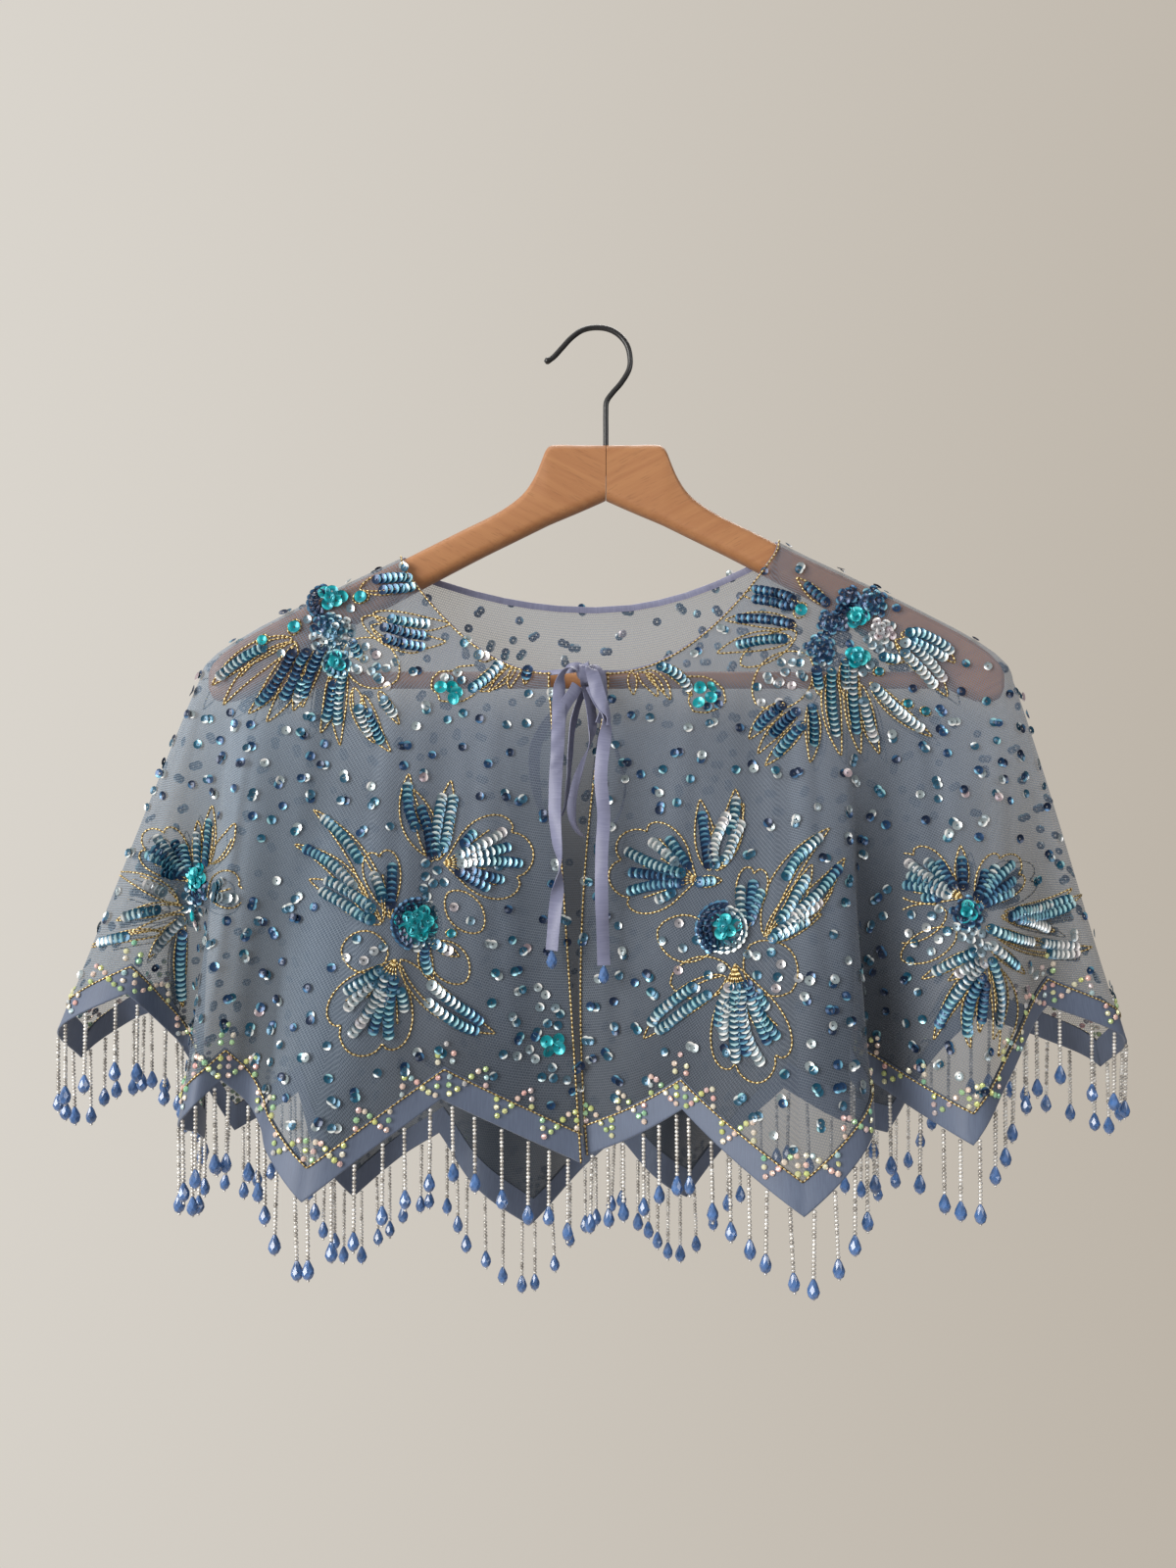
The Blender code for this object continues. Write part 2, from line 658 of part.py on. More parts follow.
def fringe(name, first, last):
    """Narrow strip under the hem's edge, with strands and drops that grow out of it."""
    line = hem_line(first, last)
    count = int(round((last - first) * STRANDS_PER_POINT))
    centres = [first + (k + 0.5) / STRANDS_PER_POINT for k in range(count)]
    half_strand = 0.5 * STRAND_WIDTH / POINT_PITCH
    corners = [t for t in line[0] if min(abs(t - c) for c in centres) > 0.02 and t not in NECK_TURNS]
    turns = sorted(corners + [c + side * half_strand for c in centres for side in (-1.0, 1.0)])
    turns[0] = first + GAP / POINT_PITCH
    turns[-1] = last - GAP / POINT_PITCH
    points, faces, outs = [], [], []
    for turn in turns:
        edge = on_line(line, turn)
        along = on_line(line, min(turn + 0.01, last)) - on_line(line, max(turn - 0.01, first))
        out = np.cross(along, (0.0, 0.0, -1.0))
        if turn in (turns[0], turns[-1]):
            out = cloth_normal(round(turn), 2.0) * (1.0, 1.0, 0.0)
        out /= np.linalg.norm(out)
        outs.append(out)
        for depth in (STRIP_GAP, STRIP_GAP + STRIP_HEIGHT):
            for face in (0.5, -0.5):
                spot = edge + out * STRIP_WALL * face
                points.append((spot[0], spot[1], edge[2] - depth))
    for k in range(len(turns) - 1):
        a, b = 4 * k, 4 * k + 4
        faces.append((a, b, b + 1, a + 1))
        faces.append((a, a + 2, b + 2, b))
        faces.append((a + 1, b + 1, b + 3, a + 3))
        bottom = (a + 2, a + 3, b + 3, b + 2)
        middle = 0.5 * (turns[k] + turns[k + 1])
        if min(abs(middle - c) for c in centres) < 1e-6:
            faces += strand(points, bottom, on_line(line, middle), outs[k])
        else:
            faces.append(bottom)
    end = 4 * (len(turns) - 1)
    faces.append((0, 1, 3, 2))
    faces.append((end, end + 2, end + 3, end + 1))
    return make_node(name, points, faces, "beads")


def strand(points, upper, root, out):
    """Faces of one strand and its drop, hung straight down from a face of the strip."""
    along = np.cross((0.0, 0.0, -1.0), out)
    sizes = (
        (STRAND_LENGTH, STRAND_NECK),
        (STRAND_LENGTH + DROP_LENGTH * DROP_WIDEST, DROP_WIDTH),
        (STRAND_LENGTH + DROP_LENGTH, DROP_END),
    )
    faces = []
    for down, width in sizes:
        lower = []
        for side, face in ((-1, 1), (-1, -1), (1, -1), (1, 1)):
            spot = root + 0.5 * width * (along * side + out * face)
            lower.append(len(points))
            points.append((spot[0], spot[1], root[2] - down))
        for n in range(4):
            m = (n + 1) % 4
            faces.append((upper[n], upper[m], lower[m], lower[n]))
        upper = tuple(lower)
    faces.append(upper)
    return faces


def sweep_sections(name, sections, finish):
    """Closed solid through rings of equal length, with flat ends."""
    size = len(sections[0])
    points = [p for ring in sections for p in ring]
    faces = [tuple(range(size))]
    for k in range(len(sections) - 1):
        for n in range(size):
            m = (n + 1) % size
            a, b = k * size, (k + 1) * size
            faces.append((a + n, a + m, b + m, b + n))
    last = (len(sections) - 1) * size
    faces.append(tuple(last + n for n in range(size)))
    return make_node(name, points, faces, finish)


def arm_ring(x, y, top, bottom, half_thick):
    """Upright section of a hanger half, with rounded corners."""
    radius = min(SECTION_ROUND, half_thick - 0.5, 0.5 * (top - bottom) - 0.5)
    corners = (
        (half_thick - radius, top - radius, 0.0),
        (-half_thick + radius, top - radius, 90.0),
        (-half_thick + radius, bottom + radius, 180.0),
        (half_thick - radius, bottom + radius, 270.0),
    )
    ring = []
    for across, height, start in corners:
        for k in range(ROUND_STEPS + 1):
            angle = math.radians(start + 90.0 * k / ROUND_STEPS)
            ring.append((x, y + across + radius * math.cos(angle), height + radius * math.sin(angle)))
    return ring


def hanger_half(name, side):
    sections = []
    for station in ARM_STATIONS:
        reach = max(station.reach, 0.5 * MITRE_GAP)
        x = HANGER_X + side * reach
        sections.append(arm_ring(x, arm_sweep(reach), station.top, station.bottom, station.half_thick))
    half = sweep_sections(name, sections, "wood")
    top = ARM_STATIONS[0].top
    hole_end = (HANGER_X, 0.0, top - STEM_DEPTH - HOLE_CLEARANCE)
    hole_mouth = (HANGER_X, 0.0, top + HOLE_OVERRUN)
    cut(half, round_cutter(name + "_hole", hole_end, hole_mouth, WIRE_RADIUS + HOLE_CLEARANCE))
    start = (HANGER_X + side * SOCKET_START, BAR_Y, BAR_HEIGHT)
    end = (HANGER_X + side * (BAR_REACH + SOCKET_END), BAR_Y, BAR_HEIGHT)
    cut(half, round_cutter(name + "_socket", start, end, BAR_RADIUS + HOLE_CLEARANCE))
    return half


def round_bar(name, start, end, radius, sides, finish):
    start, end = np.array(start, float), np.array(end, float)
    way = (end - start) / np.linalg.norm(end - start)
    across = np.cross(way, (0.0, 1.0, 0.0))
    across /= np.linalg.norm(across)
    other = np.cross(way, across)
    sections = []
    for centre in (start, end):
        ring = []
        for n in range(sides):
            angle = 2.0 * math.pi * n / sides
            ring.append(centre + radius * (across * math.cos(angle) + other * math.sin(angle)))
        sections.append(ring)
    return sweep_sections(name, sections, finish)


def round_cutter(name, start, end, radius):
    cutter = round_bar(name, start, end, radius, 16, "wood")
    cutter.hide_render = True
    cutter.display_type = "WIRE"
    return cutter


def cut(node, cutter):
    tool = node.modifiers.new("cut", "BOOLEAN")
    tool.operation = "DIFFERENCE"
    tool.object = cutter


def even_points(rows, step):
    """Points about one step apart on a smooth curve through the rows."""
    keyed = [(float(k),) + tuple(row) for k, row in enumerate(rows)]
    fine = [spline(keyed, k / 20.0) for k in range(20 * (len(rows) - 1) + 1)]
    lengths = [0.0]
    for a, b in zip(fine, fine[1:]):
        lengths.append(lengths[-1] + float(np.linalg.norm((b - a)[:3])))
    count = max(2, int(round(lengths[-1] / step)))
    wanted = [lengths[-1] * k / count for k in range(count + 1)]
    columns = [np.interp(wanted, lengths, [p[c] for p in fine]) for c in range(len(fine[0]))]
    return [np.array(values) for values in zip(*columns)]


def hanger_hook():
    path = [np.array((p[0], 0.0, p[1])) for p in even_points(HOOK_POINTS, HOOK_STEP)]
    stem = np.array((HANGER_X, 0.0, ARM_STATIONS[0].top - STEM_DEPTH))
    path = [stem] + path
    sections = []
    sides = 8
    for k, centre in enumerate(path):
        way = path[min(k + 1, len(path) - 1)] - path[max(k - 1, 0)]
        way /= np.linalg.norm(way)
        across = np.array((0.0, 1.0, 0.0))
        other = np.cross(way, across)
        radius = HOOK_END_BALL if k >= len(path) - 2 else WIRE_RADIUS
        ring = []
        for n in range(sides):
            angle = 2.0 * math.pi * (n + 0.5) / sides
            scale = radius / math.cos(math.pi / sides)
            ring.append(centre + scale * (across * math.cos(angle) + other * math.sin(angle)))
        sections.append(ring)
    return sweep_sections("hanger_hook", sections, "wire")


def hanger_bar():
    left = (HANGER_X - BAR_REACH, BAR_Y, BAR_HEIGHT)
    right = (HANGER_X + BAR_REACH, BAR_Y, BAR_HEIGHT)
    return round_bar("hanger_bar", left, right, BAR_RADIUS, 14, "wood")


def neck_turns():
    """Columns of the neckline from the left front edge round the back to the right one."""
    front = [0.0, 0.12, 0.25, 0.38, 0.5, 0.62, 0.74, 0.84, 0.9, 0.94, 0.955, 0.97, 0.985, 1.0]
    back = [5.015, 5.03, 5.045, 5.06, 5.1, 5.2, 5.35, 5.5, 5.65, 5.8]
    return front + back + [6.0] + [12.0 - t for t in back[::-1]] + [12.0 - t for t in front[::-1]]


def neck_binding():
    """Narrow bias strip on the neckline's edge, whose two ends run to the knot."""
    turns = neck_turns()
    edges = [cloth(t, 0.0) for t in turns]
    left_end = np.array(KNOT_CENTRE) + (-0.5 * KNOT_SIZE[0] - GAP, 0.0, 0.0)
    right_end = np.array(KNOT_CENTRE) + (0.5 * KNOT_SIZE[0] + GAP, 0.0, 0.0)
    sections = [binding_ring(left_end, np.array((0.0, 0.0, 1.0)), np.array((0.0, -1.0, 0.0)))]
    for k, turn in enumerate(turns):
        way = edges[min(k + 1, len(edges) - 1)] - edges[max(k - 1, 0)]
        out = cloth_normal(turn, 0.0)
        out = out - way * np.dot(out, way) / np.dot(way, way)
        out /= np.linalg.norm(out)
        up = np.cross(out, way)
        up /= np.linalg.norm(up)
        if np.dot(up, edges[k] - cloth(turn, 0.25)) < 0.0 or (on_arm(turn) and up[2] < 0.0):
            up = -up
        sections.append(binding_ring(edges[k] + up * (0.5 * BINDING_WIDTH + GAP), up, out))
    sections.append(binding_ring(right_end, np.array((0.0, 0.0, 1.0)), np.array((0.0, -1.0, 0.0))))
    return sweep_sections("neck_binding", sections, "ribbon")


def binding_ring(centre, up, out):
    ring = []
    for height, face in ((-1, 1), (1, 1), (1, -1), (-1, -1)):
        ring.append(centre + up * height * BINDING_WIDTH * 0.5 + out * face * BINDING_WALL * 0.5)
    return ring


def ribbon(name, rows, finish="ribbon"):
    """Flat ribbon along a path, turned about it as each row says."""
    path = even_points(rows, RIBBON_STEP)
    sections = []
    for k, spot in enumerate(path):
        centre = spot[:3]
        way = path[min(k + 1, len(path) - 1)][:3] - path[max(k - 1, 0)][:3]
        way /= np.linalg.norm(way)
        turned = math.radians(spot[3])
        across = np.array((math.cos(turned), math.sin(turned), 0.0))
        facing = np.cross(way, across)
        facing /= np.linalg.norm(facing)
        across = np.cross(facing, way)
        ring = []
        for side, face in ((-1, 1), (1, 1), (1, -1), (-1, -1)):
            ring.append(centre + across * side * RIBBON_WIDTH * 0.5 + facing * face * RIBBON_WALL * 0.5)
        sections.append(ring)
    return sweep_sections(name, sections, finish)


def tie_knot():
    """Rounded block of the knot."""
    levels = ((-1.0, 0.62), (-0.72, 0.92), (0.0, 1.0), (0.72, 0.92), (1.0, 0.62))
    sections = []
    sides = 12
    for height, share in levels:
        ring = []
        for n in range(sides):
            angle = 2.0 * math.pi * n / sides
            ring.append((
                KNOT_CENTRE[0] + 0.5 * KNOT_SIZE[0] * share * math.cos(angle),
                KNOT_CENTRE[1] + 0.5 * KNOT_SIZE[1] * share * math.sin(angle),
                KNOT_CENTRE[2] + 0.5 * KNOT_SIZE[2] * height,
            ))
        sections.append(ring)
    return sweep_sections("tie_knot", sections, "ribbon")


def tie_drop(name, last):
    """Faceted drop under the end of a ribbon tail."""
    profile = ((0.0, 0.28), (0.3, 0.7), (0.62, 1.0), (0.85, 0.7), (1.0, 0.25))
    top = last.z - DROP_BELOW_TAIL
    sections = []
    for down, share in profile:
        ring = []
        for n in range(TIE_DROP_SIDES):
            angle = 2.0 * math.pi * n / TIE_DROP_SIDES
            radius = 0.5 * TIE_DROP_WIDTH * share
            ring.append((
                last.x + radius * math.cos(angle),
                last.y + radius * math.sin(angle),
                top - TIE_DROP_LENGTH * down,
            ))
        sections.append(ring)
    return sweep_sections(name, sections, "beads")


def main():
    clear_scene()
    hanger_half("hanger_half_left", -1.0)
    hanger_half("hanger_half_right", 1.0)
    hanger_bar()
    hanger_hook()
    for name, first, last in (
        ("front_left", LEFT_EDGE, LEFT_SEAM),
        ("back", LEFT_SEAM, RIGHT_SEAM),
        ("front_right", RIGHT_SEAM, RIGHT_EDGE),
    ):
        panel(name, first, last)
        hem_band("hem_band_" + name, first, last)
        fringe("fringe_" + name, first, last)
    neck_binding()
    tie_knot()
    ribbon("tie_loop_left", LOOP_LEFT)
    ribbon("tie_loop_right", LOOP_RIGHT)
    ribbon("tie_tail_left", TAIL_LEFT)
    ribbon("tie_tail_right", TAIL_RIGHT)
    tie_drop("tie_drop_left", TAIL_LEFT[-1])
    tie_drop("tie_drop_right", TAIL_RIGHT[-1])


main()
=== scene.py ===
"""Looks of the sheer evening capelet on its wooden hanger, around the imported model.

Sizes are in millimetres, +Z up, X to the right seen from the front and Y from the
front to the back, with the origin at the top of the hook's inner curve. The meshes
are made in metres.

The cloth is one surface in two directions, as in the part's source. "Turn" counts
the hem's twelve points, from 0 at the left front edge by way of the centre back at 6
to 12 at the right front edge. "Fall" goes down the cloth: 0 to 1 over the hanger's
arm or under the neckline, and 1 to 2 from there to the hem.
"""

import math
from collections import namedtuple

import bpy
import numpy as np
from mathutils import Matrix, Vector
from mathutils.bvhtree import BVHTree


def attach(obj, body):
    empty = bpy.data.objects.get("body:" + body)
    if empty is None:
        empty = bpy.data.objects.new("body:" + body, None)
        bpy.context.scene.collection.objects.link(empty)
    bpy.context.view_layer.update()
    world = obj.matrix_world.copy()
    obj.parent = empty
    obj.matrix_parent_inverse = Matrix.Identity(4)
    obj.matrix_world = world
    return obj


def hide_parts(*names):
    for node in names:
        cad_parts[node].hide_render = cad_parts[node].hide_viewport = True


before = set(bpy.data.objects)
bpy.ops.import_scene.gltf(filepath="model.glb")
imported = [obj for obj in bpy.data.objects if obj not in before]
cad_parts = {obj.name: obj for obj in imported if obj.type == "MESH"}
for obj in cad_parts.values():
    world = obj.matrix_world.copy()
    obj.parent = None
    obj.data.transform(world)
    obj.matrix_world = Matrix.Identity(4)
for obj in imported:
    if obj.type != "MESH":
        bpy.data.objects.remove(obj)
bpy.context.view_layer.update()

MM = 0.001
FULL_TURN = 2.0 * math.pi
GOLDEN_ANGLE = 2.399963
UPWARD = (0.0, 0.0, 1.0)
ACROSS = (1.0, 0.0, 0.0)
chance = np.random.default_rng(11)


def table(columns, *rows):
    """List of rows whose columns have names."""
    row_kind = namedtuple("Row", columns)
    return [row_kind(*row) for row in rows]


# Camera: where it stands, and how many millimetres one pixel of the photograph
# covers at the hanger's plane. The photograph is 1200 by 1600 pixels.
CAMERA_AT = (-3.8, -650.0, -250.0)
PIXEL_SIZE = 0.54
PHOTO_MIDDLE = (600.0, 800.0)
LENS = 27.08
SENSOR = 36.0

# Hanger, as in the part's source
HANGER_X = 6.0
HANGER_SWEEP = 18.0
HANGER_REACH = 212.0
MITRE_GAP = 0.3
ARM_HALF_THICK = 7.0
SECTION_ROUND = 5.5
ARM_STATIONS = table(
    "reach top bottom half_thick",
    (0.0, -64.0, -93.6, ARM_HALF_THICK), (14.0, -64.0, -99.8, ARM_HALF_THICK),
    (30.0, -64.2, -106.6, ARM_HALF_THICK), (33.0, -67.0, -108.0, ARM_HALF_THICK),
    (35.0, -72.0, -109.0, ARM_HALF_THICK), (39.0, -81.5, -111.0, ARM_HALF_THICK),
    (45.0, -90.5, -114.0, ARM_HALF_THICK), (54.0, -98.0, -118.5, ARM_HALF_THICK),
    (64.0, -104.0, -123.5, ARM_HALF_THICK), (76.0, -110.0, -129.8, ARM_HALF_THICK),
    (93.0, -118.8, -139.0, ARM_HALF_THICK), (111.0, -128.2, -149.0, ARM_HALF_THICK),
    (128.0, -136.6, -158.5, ARM_HALF_THICK), (146.0, -145.6, -168.5, ARM_HALF_THICK),
    (165.0, -155.6, -180.0, ARM_HALF_THICK), (185.0, -166.6, -198.0, ARM_HALF_THICK),
    (198.0, -174.8, -205.0, 6.9), (205.0, -180.2, -206.0, 6.4), (210.0, -185.6, -204.5, 5.2),
    (212.0, -189.6, -200.5, 3.6),
)
BAR_RADIUS = 4.6
BAR_HEIGHT = -194.0
BAR_REACH = 190.5
BAR_Y = -13.6
WIRE_RADIUS = 1.5
HOOK_END_BALL = 1.9
STEM_DEPTH = 16.0
HOOK_POINTS = table(
    "x z",
    (6.0, -56.0), (6.0, -46.0), (6.4, -39.5), (9.6, -34.6), (14.6, -28.8), (18.7, -21.8),
    (19.4, -15.4), (17.7, -8.2), (13.3, -2.6), (7.2, 0.7), (0.0, WIRE_RADIUS), (-6.8, 0.1),
    (-12.8, -4.0), (-18.2, -9.8), (-22.4, -14.4), (-25.6, -16.6), (-28.0, -17.0),
)

# Cloth, as in the part's source
LEFT_EDGE = 0
LEFT_SEAM = 3
CENTRE_BACK = 6
RIGHT_SEAM = 9
RIGHT_EDGE = 12
CLOTH_OFF_WOOD = 1.35
CROSSING_TURNS = 2
LEFT_CROSSING = 111.0
RIGHT_CROSSING = 94.0
OVER_ARM = 12.2
UNDER_NECK = 7.0
BELOW_ARM_LEAN = 0.1
NECK_LEAN = 0.2
WRAP_SHORTENING = 0.4
WRAP_TURN = 0.06
NECK_INSET = 2.4
TIP_TURN = 1.0
TIP_BULGE = 0.55
TOP_ROWS = table(
    "turn reach",
    (0.0, 29.5), (0.5, 68.0), (0.94, 108.5), (1.0, 111.0), (1.25, 150.0), (1.5, 179.0), (2.0, 198.0),
    (2.5, 208.5), (3.0, 212.0), (3.5, 208.5), (4.0, 190.0), (4.5, 152.0), (5.0, 111.0), (5.06, 108.5),
    (5.5, 58.0), (6.0, 6.0), (6.5, -46.0), (6.94, -91.5), (7.0, -94.0), (7.5, -140.0), (8.0, -185.0),
    (8.25, -203.5), (8.5, -208.5), (9.0, -212.0), (9.5, -208.5), (9.75, -203.5), (10.0, -182.0),
    (10.35, -146.0), (10.62, -118.0), (11.0, -94.0), (11.06, -91.5), (11.5, -48.0), (12.0, 0.5),
)
FRONT_NECK_LEVEL = -191.0
FRONT_NECK_Y = -26.0
BACK_NECK_DROP = 24.0
BACK_NECK_Y = 22.0
LEFT_EDGE_REACH = 29.5
RIGHT_EDGE_REACH = 0.5
HEM_ROWS = table(
    "turn x y level",
    (0.00, -6, -36, -425), (0.25, -42, -45, -429), (0.50, -78, -55, -432), (0.75, -112, -71, -431),
    (1.00, -142, -81, -429), (1.18, -162, -68, -426), (1.28, -168, -58, -425), (1.38, -176, -54, -423),
    (1.50, -187, -61, -421), (1.64, -199, -71, -420), (1.78, -210, -56, -420), (1.90, -209, -32, -419),
    (2.00, -211, -14, -418), (2.12, -215, -1, -410), (2.25, -224, 4, -401), (2.38, -236, -10, -392),
    (2.50, -248, -26, -384), (2.75, -287, -18, -381), (3.00, -291, 18, -382), (3.25, -270, 30, -388),
    (3.50, -246, 16, -400), (3.75, -228, 28, -416), (4.00, -213, 48, -432), (4.25, -190, 58, -443),
    (4.50, -172, 36, -452), (4.75, -158, 22, -461), (5.00, -142, 44, -470), (5.25, -118, 63, -476),
    (5.50, -92, 50, -480), (5.75, -68, 30, -483), (6.00, -38, 42, -486), (6.25, -10, 60, -484),
    (6.50, 14, 48, -481), (6.75, 34, 30, -476), (7.00, 54, 44, -470), (7.25, 84, 62, -462),
    (7.50, 112, 48, -453), (7.75, 140, 30, -443), (8.00, 172, 44, -432), (8.25, 200, 60, -420),
    (8.50, 224, 40, -408), (8.75, 258, 36, -397), (9.00, 290, 26, -389), (9.25, 288, -8, -388),
    (9.50, 243, -16, -392), (9.75, 214, -42, -400), (10.00, 189, -60, -408), (10.20, 168, -38, -416),
    (10.35, 150, -16, -420), (10.50, 134, -28, -425), (10.62, 140, -56, -429), (10.74, 130, -75, -432),
    (11.00, 100, -84, -435), (11.25, 70, -70, -437), (11.50, 44, -52, -438), (11.75, 20, -41, -432),
    (12.00, -5, -31, -422),
)
PLAIN_ROWS = table(
    "turn x y",
    (0, -6, -36), (1, -135, -62), (2, -222, -46), (3, -292, 2), (4, -215, 38), (5, -125, 43),
    (6, -22, 46), (7, 72, 46), (8, 176, 42), (9, 292, 2), (10, 205, -52), (11, 95, -64), (12, -5, -31),
)
FOLD_GROWTH = 1.7
SPREAD_GROWTH = 0.94
RIGHT_EDGE_BOW = -8.0
POINT_PITCH = 155.0
POINT_HEIGHT = 23.0
BAND_HEIGHT = 16.0

# Soft creases laid over the cloth: where each one starts and ends, half its
# width in turns, and how far it stands out (or, below zero, sinks in) at its deepest
CREASES = table(
    "turn_from fall_from turn_to fall_to half_turn depth",
    (0.22, 1.15, 0.16, 2.0, 0.10, -1.6), (0.40, 1.05, 0.42, 1.8, 0.09, 1.8),
    (0.66, 1.10, 0.62, 2.0, 0.12, -2.2), (0.92, 1.00, 0.86, 1.9, 0.10, 1.6),
    (1.16, 0.90, 1.20, 1.7, 0.09, -1.8), (1.60, 1.20, 1.62, 1.9, 0.06, 1.2),
    (2.40, 1.05, 2.46, 1.9, 0.10, 1.8), (2.72, 1.10, 2.66, 2.0, 0.09, -1.6),
    (3.40, 1.00, 3.36, 1.9, 0.12, 2.0), (4.10, 1.10, 4.16, 1.9, 0.12, -2.4),
    (4.80, 1.05, 4.72, 1.8, 0.11, 2.0), (5.45, 1.00, 5.40, 1.9, 0.12, -2.2),
    (6.15, 1.05, 6.24, 1.8, 0.13, 2.2), (6.80, 1.00, 6.74, 2.0, 0.11, -2.0),
    (7.55, 1.05, 7.60, 1.9, 0.12, 2.0), (8.20, 1.10, 8.26, 1.8, 0.10, -1.8),
    (8.70, 1.10, 8.72, 1.9, 0.10, 1.8), (9.30, 1.05, 9.24, 1.9, 0.10, -1.6),
    (9.80, 1.15, 9.84, 1.9, 0.08, 1.6), (10.16, 1.10, 10.10, 1.7, 0.07, -1.4),
    (10.86, 1.00, 10.92, 1.9, 0.10, 1.8), (11.20, 1.10, 11.16, 1.9, 0.10, -2.0),
    (11.52, 1.05, 11.58, 1.8, 0.10, 1.6), (11.82, 1.20, 11.80, 1.9, 0.07, -1.2),
)

# Grid of each cloth panel
COLUMNS_PER_TURN = 56
WRAP_ROWS = 10
HANG_ROWS = 84
TULLE_IN_BAND = 3.5

# Ties, as in the part's source
KNOT_CENTRE = (-5.6, -31.0, -191.5)
KNOT_SIZE = (13.0, 12.0, 13.0)
RIBBON_WIDTH = 6.8
TIE_DROP_LENGTH = 9.0
DROP_BELOW_TAIL = 0.45
RIBBON_COLUMNS = "x y z turned"
LOOP_LEFT = table(
    RIBBON_COLUMNS,
    (-9.6, -27.6, -198.6, 50), (-17.0, -23.0, -208.0, 40), (-26.0, -20.0, -218.0, 34),
    (-31.5, -19.0, -229.0, 30), (-32.6, -18.6, -241.0, 34), (-31.4, -18.6, -253.0, 46),
    (-28.6, -18.8, -264.0, 66), (-22.4, -19.6, -270.5, 85), (-16.6, -20.6, -264.0, 80),
    (-14.6, -21.6, -252.0, 75), (-13.4, -23.0, -236.0, 70), (-12.0, -24.5, -220.0, 65),
    (-9.0, -26.4, -208.0, 62), (-5.2, -27.6, -198.6, 60),
)
LOOP_RIGHT = table(
    RIBBON_COLUMNS,
    (-5.2, -30.6, -196.6, 46), (-2.6, -31.2, -208.0, 42), (-1.4, -31.6, -219.0, 50),
    (-2.6, -31.6, -228.0, 78), (-6.4, -31.6, -238.0, 110), (-10.4, -31.6, -250.0, 126),
    (-12.4, -31.2, -262.0, 130), (-11.4, -28.6, -271.0, 120), (-6.6, -25.0, -277.4, 114),
    (0.8, -21.6, -278.6, 114), (8.4, -19.2, -273.6, 104), (14.2, -18.2, -263.0, 92),
    (16.2, -18.2, -250.0, 82), (12.6, -19.0, -236.0, 74), (7.6, -20.8, -222.0, 68),
    (3.0, -23.6, -210.0, 64), (-1.0, -27.6, -198.6, 60),
)
TAIL_LEFT = table(
    RIBBON_COLUMNS,
    (-9.4, -34.8, -198.7, 34), (-11.2, -36.8, -202.4, 36), (-14.8, -39.0, -207.6, 30),
    (-18.2, -40.6, -215.0, 22), (-19.2, -41.6, -228.0, 8), (-20.4, -42.4, -246.0, -8),
    (-20.9, -42.8, -264.0, -18), (-19.8, -43.0, -279.0, -40), (-18.2, -43.2, -291.0, -78),
    (-18.8, -43.4, -301.0, -134), (-20.6, -43.6, -314.0, -190), (-22.4, -44.0, -335.5, -204),
)
TAIL_RIGHT = table(
    RIBBON_COLUMNS,
    (-1.8, -34.8, -198.7, -6), (-0.2, -36.8, -202.4, 4), (2.4, -39.2, -208.4, 22),
    (5.0, -41.0, -215.0, 68), (5.6, -41.6, -221.0, 40), (4.4, -41.8, -229.0, 2),
    (2.8, -42.6, -246.5, -10), (4.3, -43.2, -266.0, 6), (3.3, -43.6, -285.0, -14),
    (3.2, -44.0, -308.0, 4), (3.8, -44.4, -327.0, 22), (4.3, -44.8, -343.0, 8),
)
# Folds of the knot: the middle of each fold's ribbon, the way it lies across, and its width
FOLD_COLUMNS = "x y z across_x across_y across_z width"
KNOT_BAND = table(
    FOLD_COLUMNS,
    (-4.6, -31.5, -198.6, 1.0, 0.1, 0.15, 5.4), (-4.9, -35.4, -197.4, 1.0, 0.1, 0.15, 5.6),
    (-5.4, -37.2, -193.4, 1.0, 0.1, 0.2, 5.4), (-5.9, -36.6, -189.2, 1.0, 0.0, 0.25, 5.0),
    (-6.0, -33.4, -186.7, 1.0, 0.0, 0.25, 5.2), (-5.8, -29.2, -186.9, 1.0, 0.0, 0.2, 5.4),
    (-5.4, -26.4, -190.4, 1.0, 0.0, 0.1, 5.6), (-5.0, -26.6, -194.6, 1.0, 0.0, 0.1, 5.4),
    (-4.6, -29.2, -198.2, 1.0, 0.0, 0.1, 5.2),
)
LEFT_FOLD = table(
    FOLD_COLUMNS,
    (-5.0, -33.6, -191.6, 0.1, 0.5, 1.0, 6.0), (-8.6, -34.8, -189.0, 0.0, 0.7, 0.8, 6.6),
    (-13.2, -35.6, -188.6, -0.2, 0.9, 0.4, 6.8), (-16.6, -36.6, -192.2, 0.3, 0.9, 0.1, 6.8),
    (-18.4, -38.2, -198.4, 0.7, 0.6, 0.1, 6.8), (-18.9, -40.2, -206.4, 0.95, 0.25, 0.05, 6.8),
    (-19.0, -42.2, -216.0, 0.98, 0.2, 0.0, 6.9), (-19.3, -42.5, -226.0, 1.0, 0.12, 0.0, 7.0),
    (-19.9, -42.5, -238.0, 1.0, 0.0, 0.0, 6.6), (-20.2, -42.2, -244.0, 1.0, -0.1, 0.0, 5.6),
)
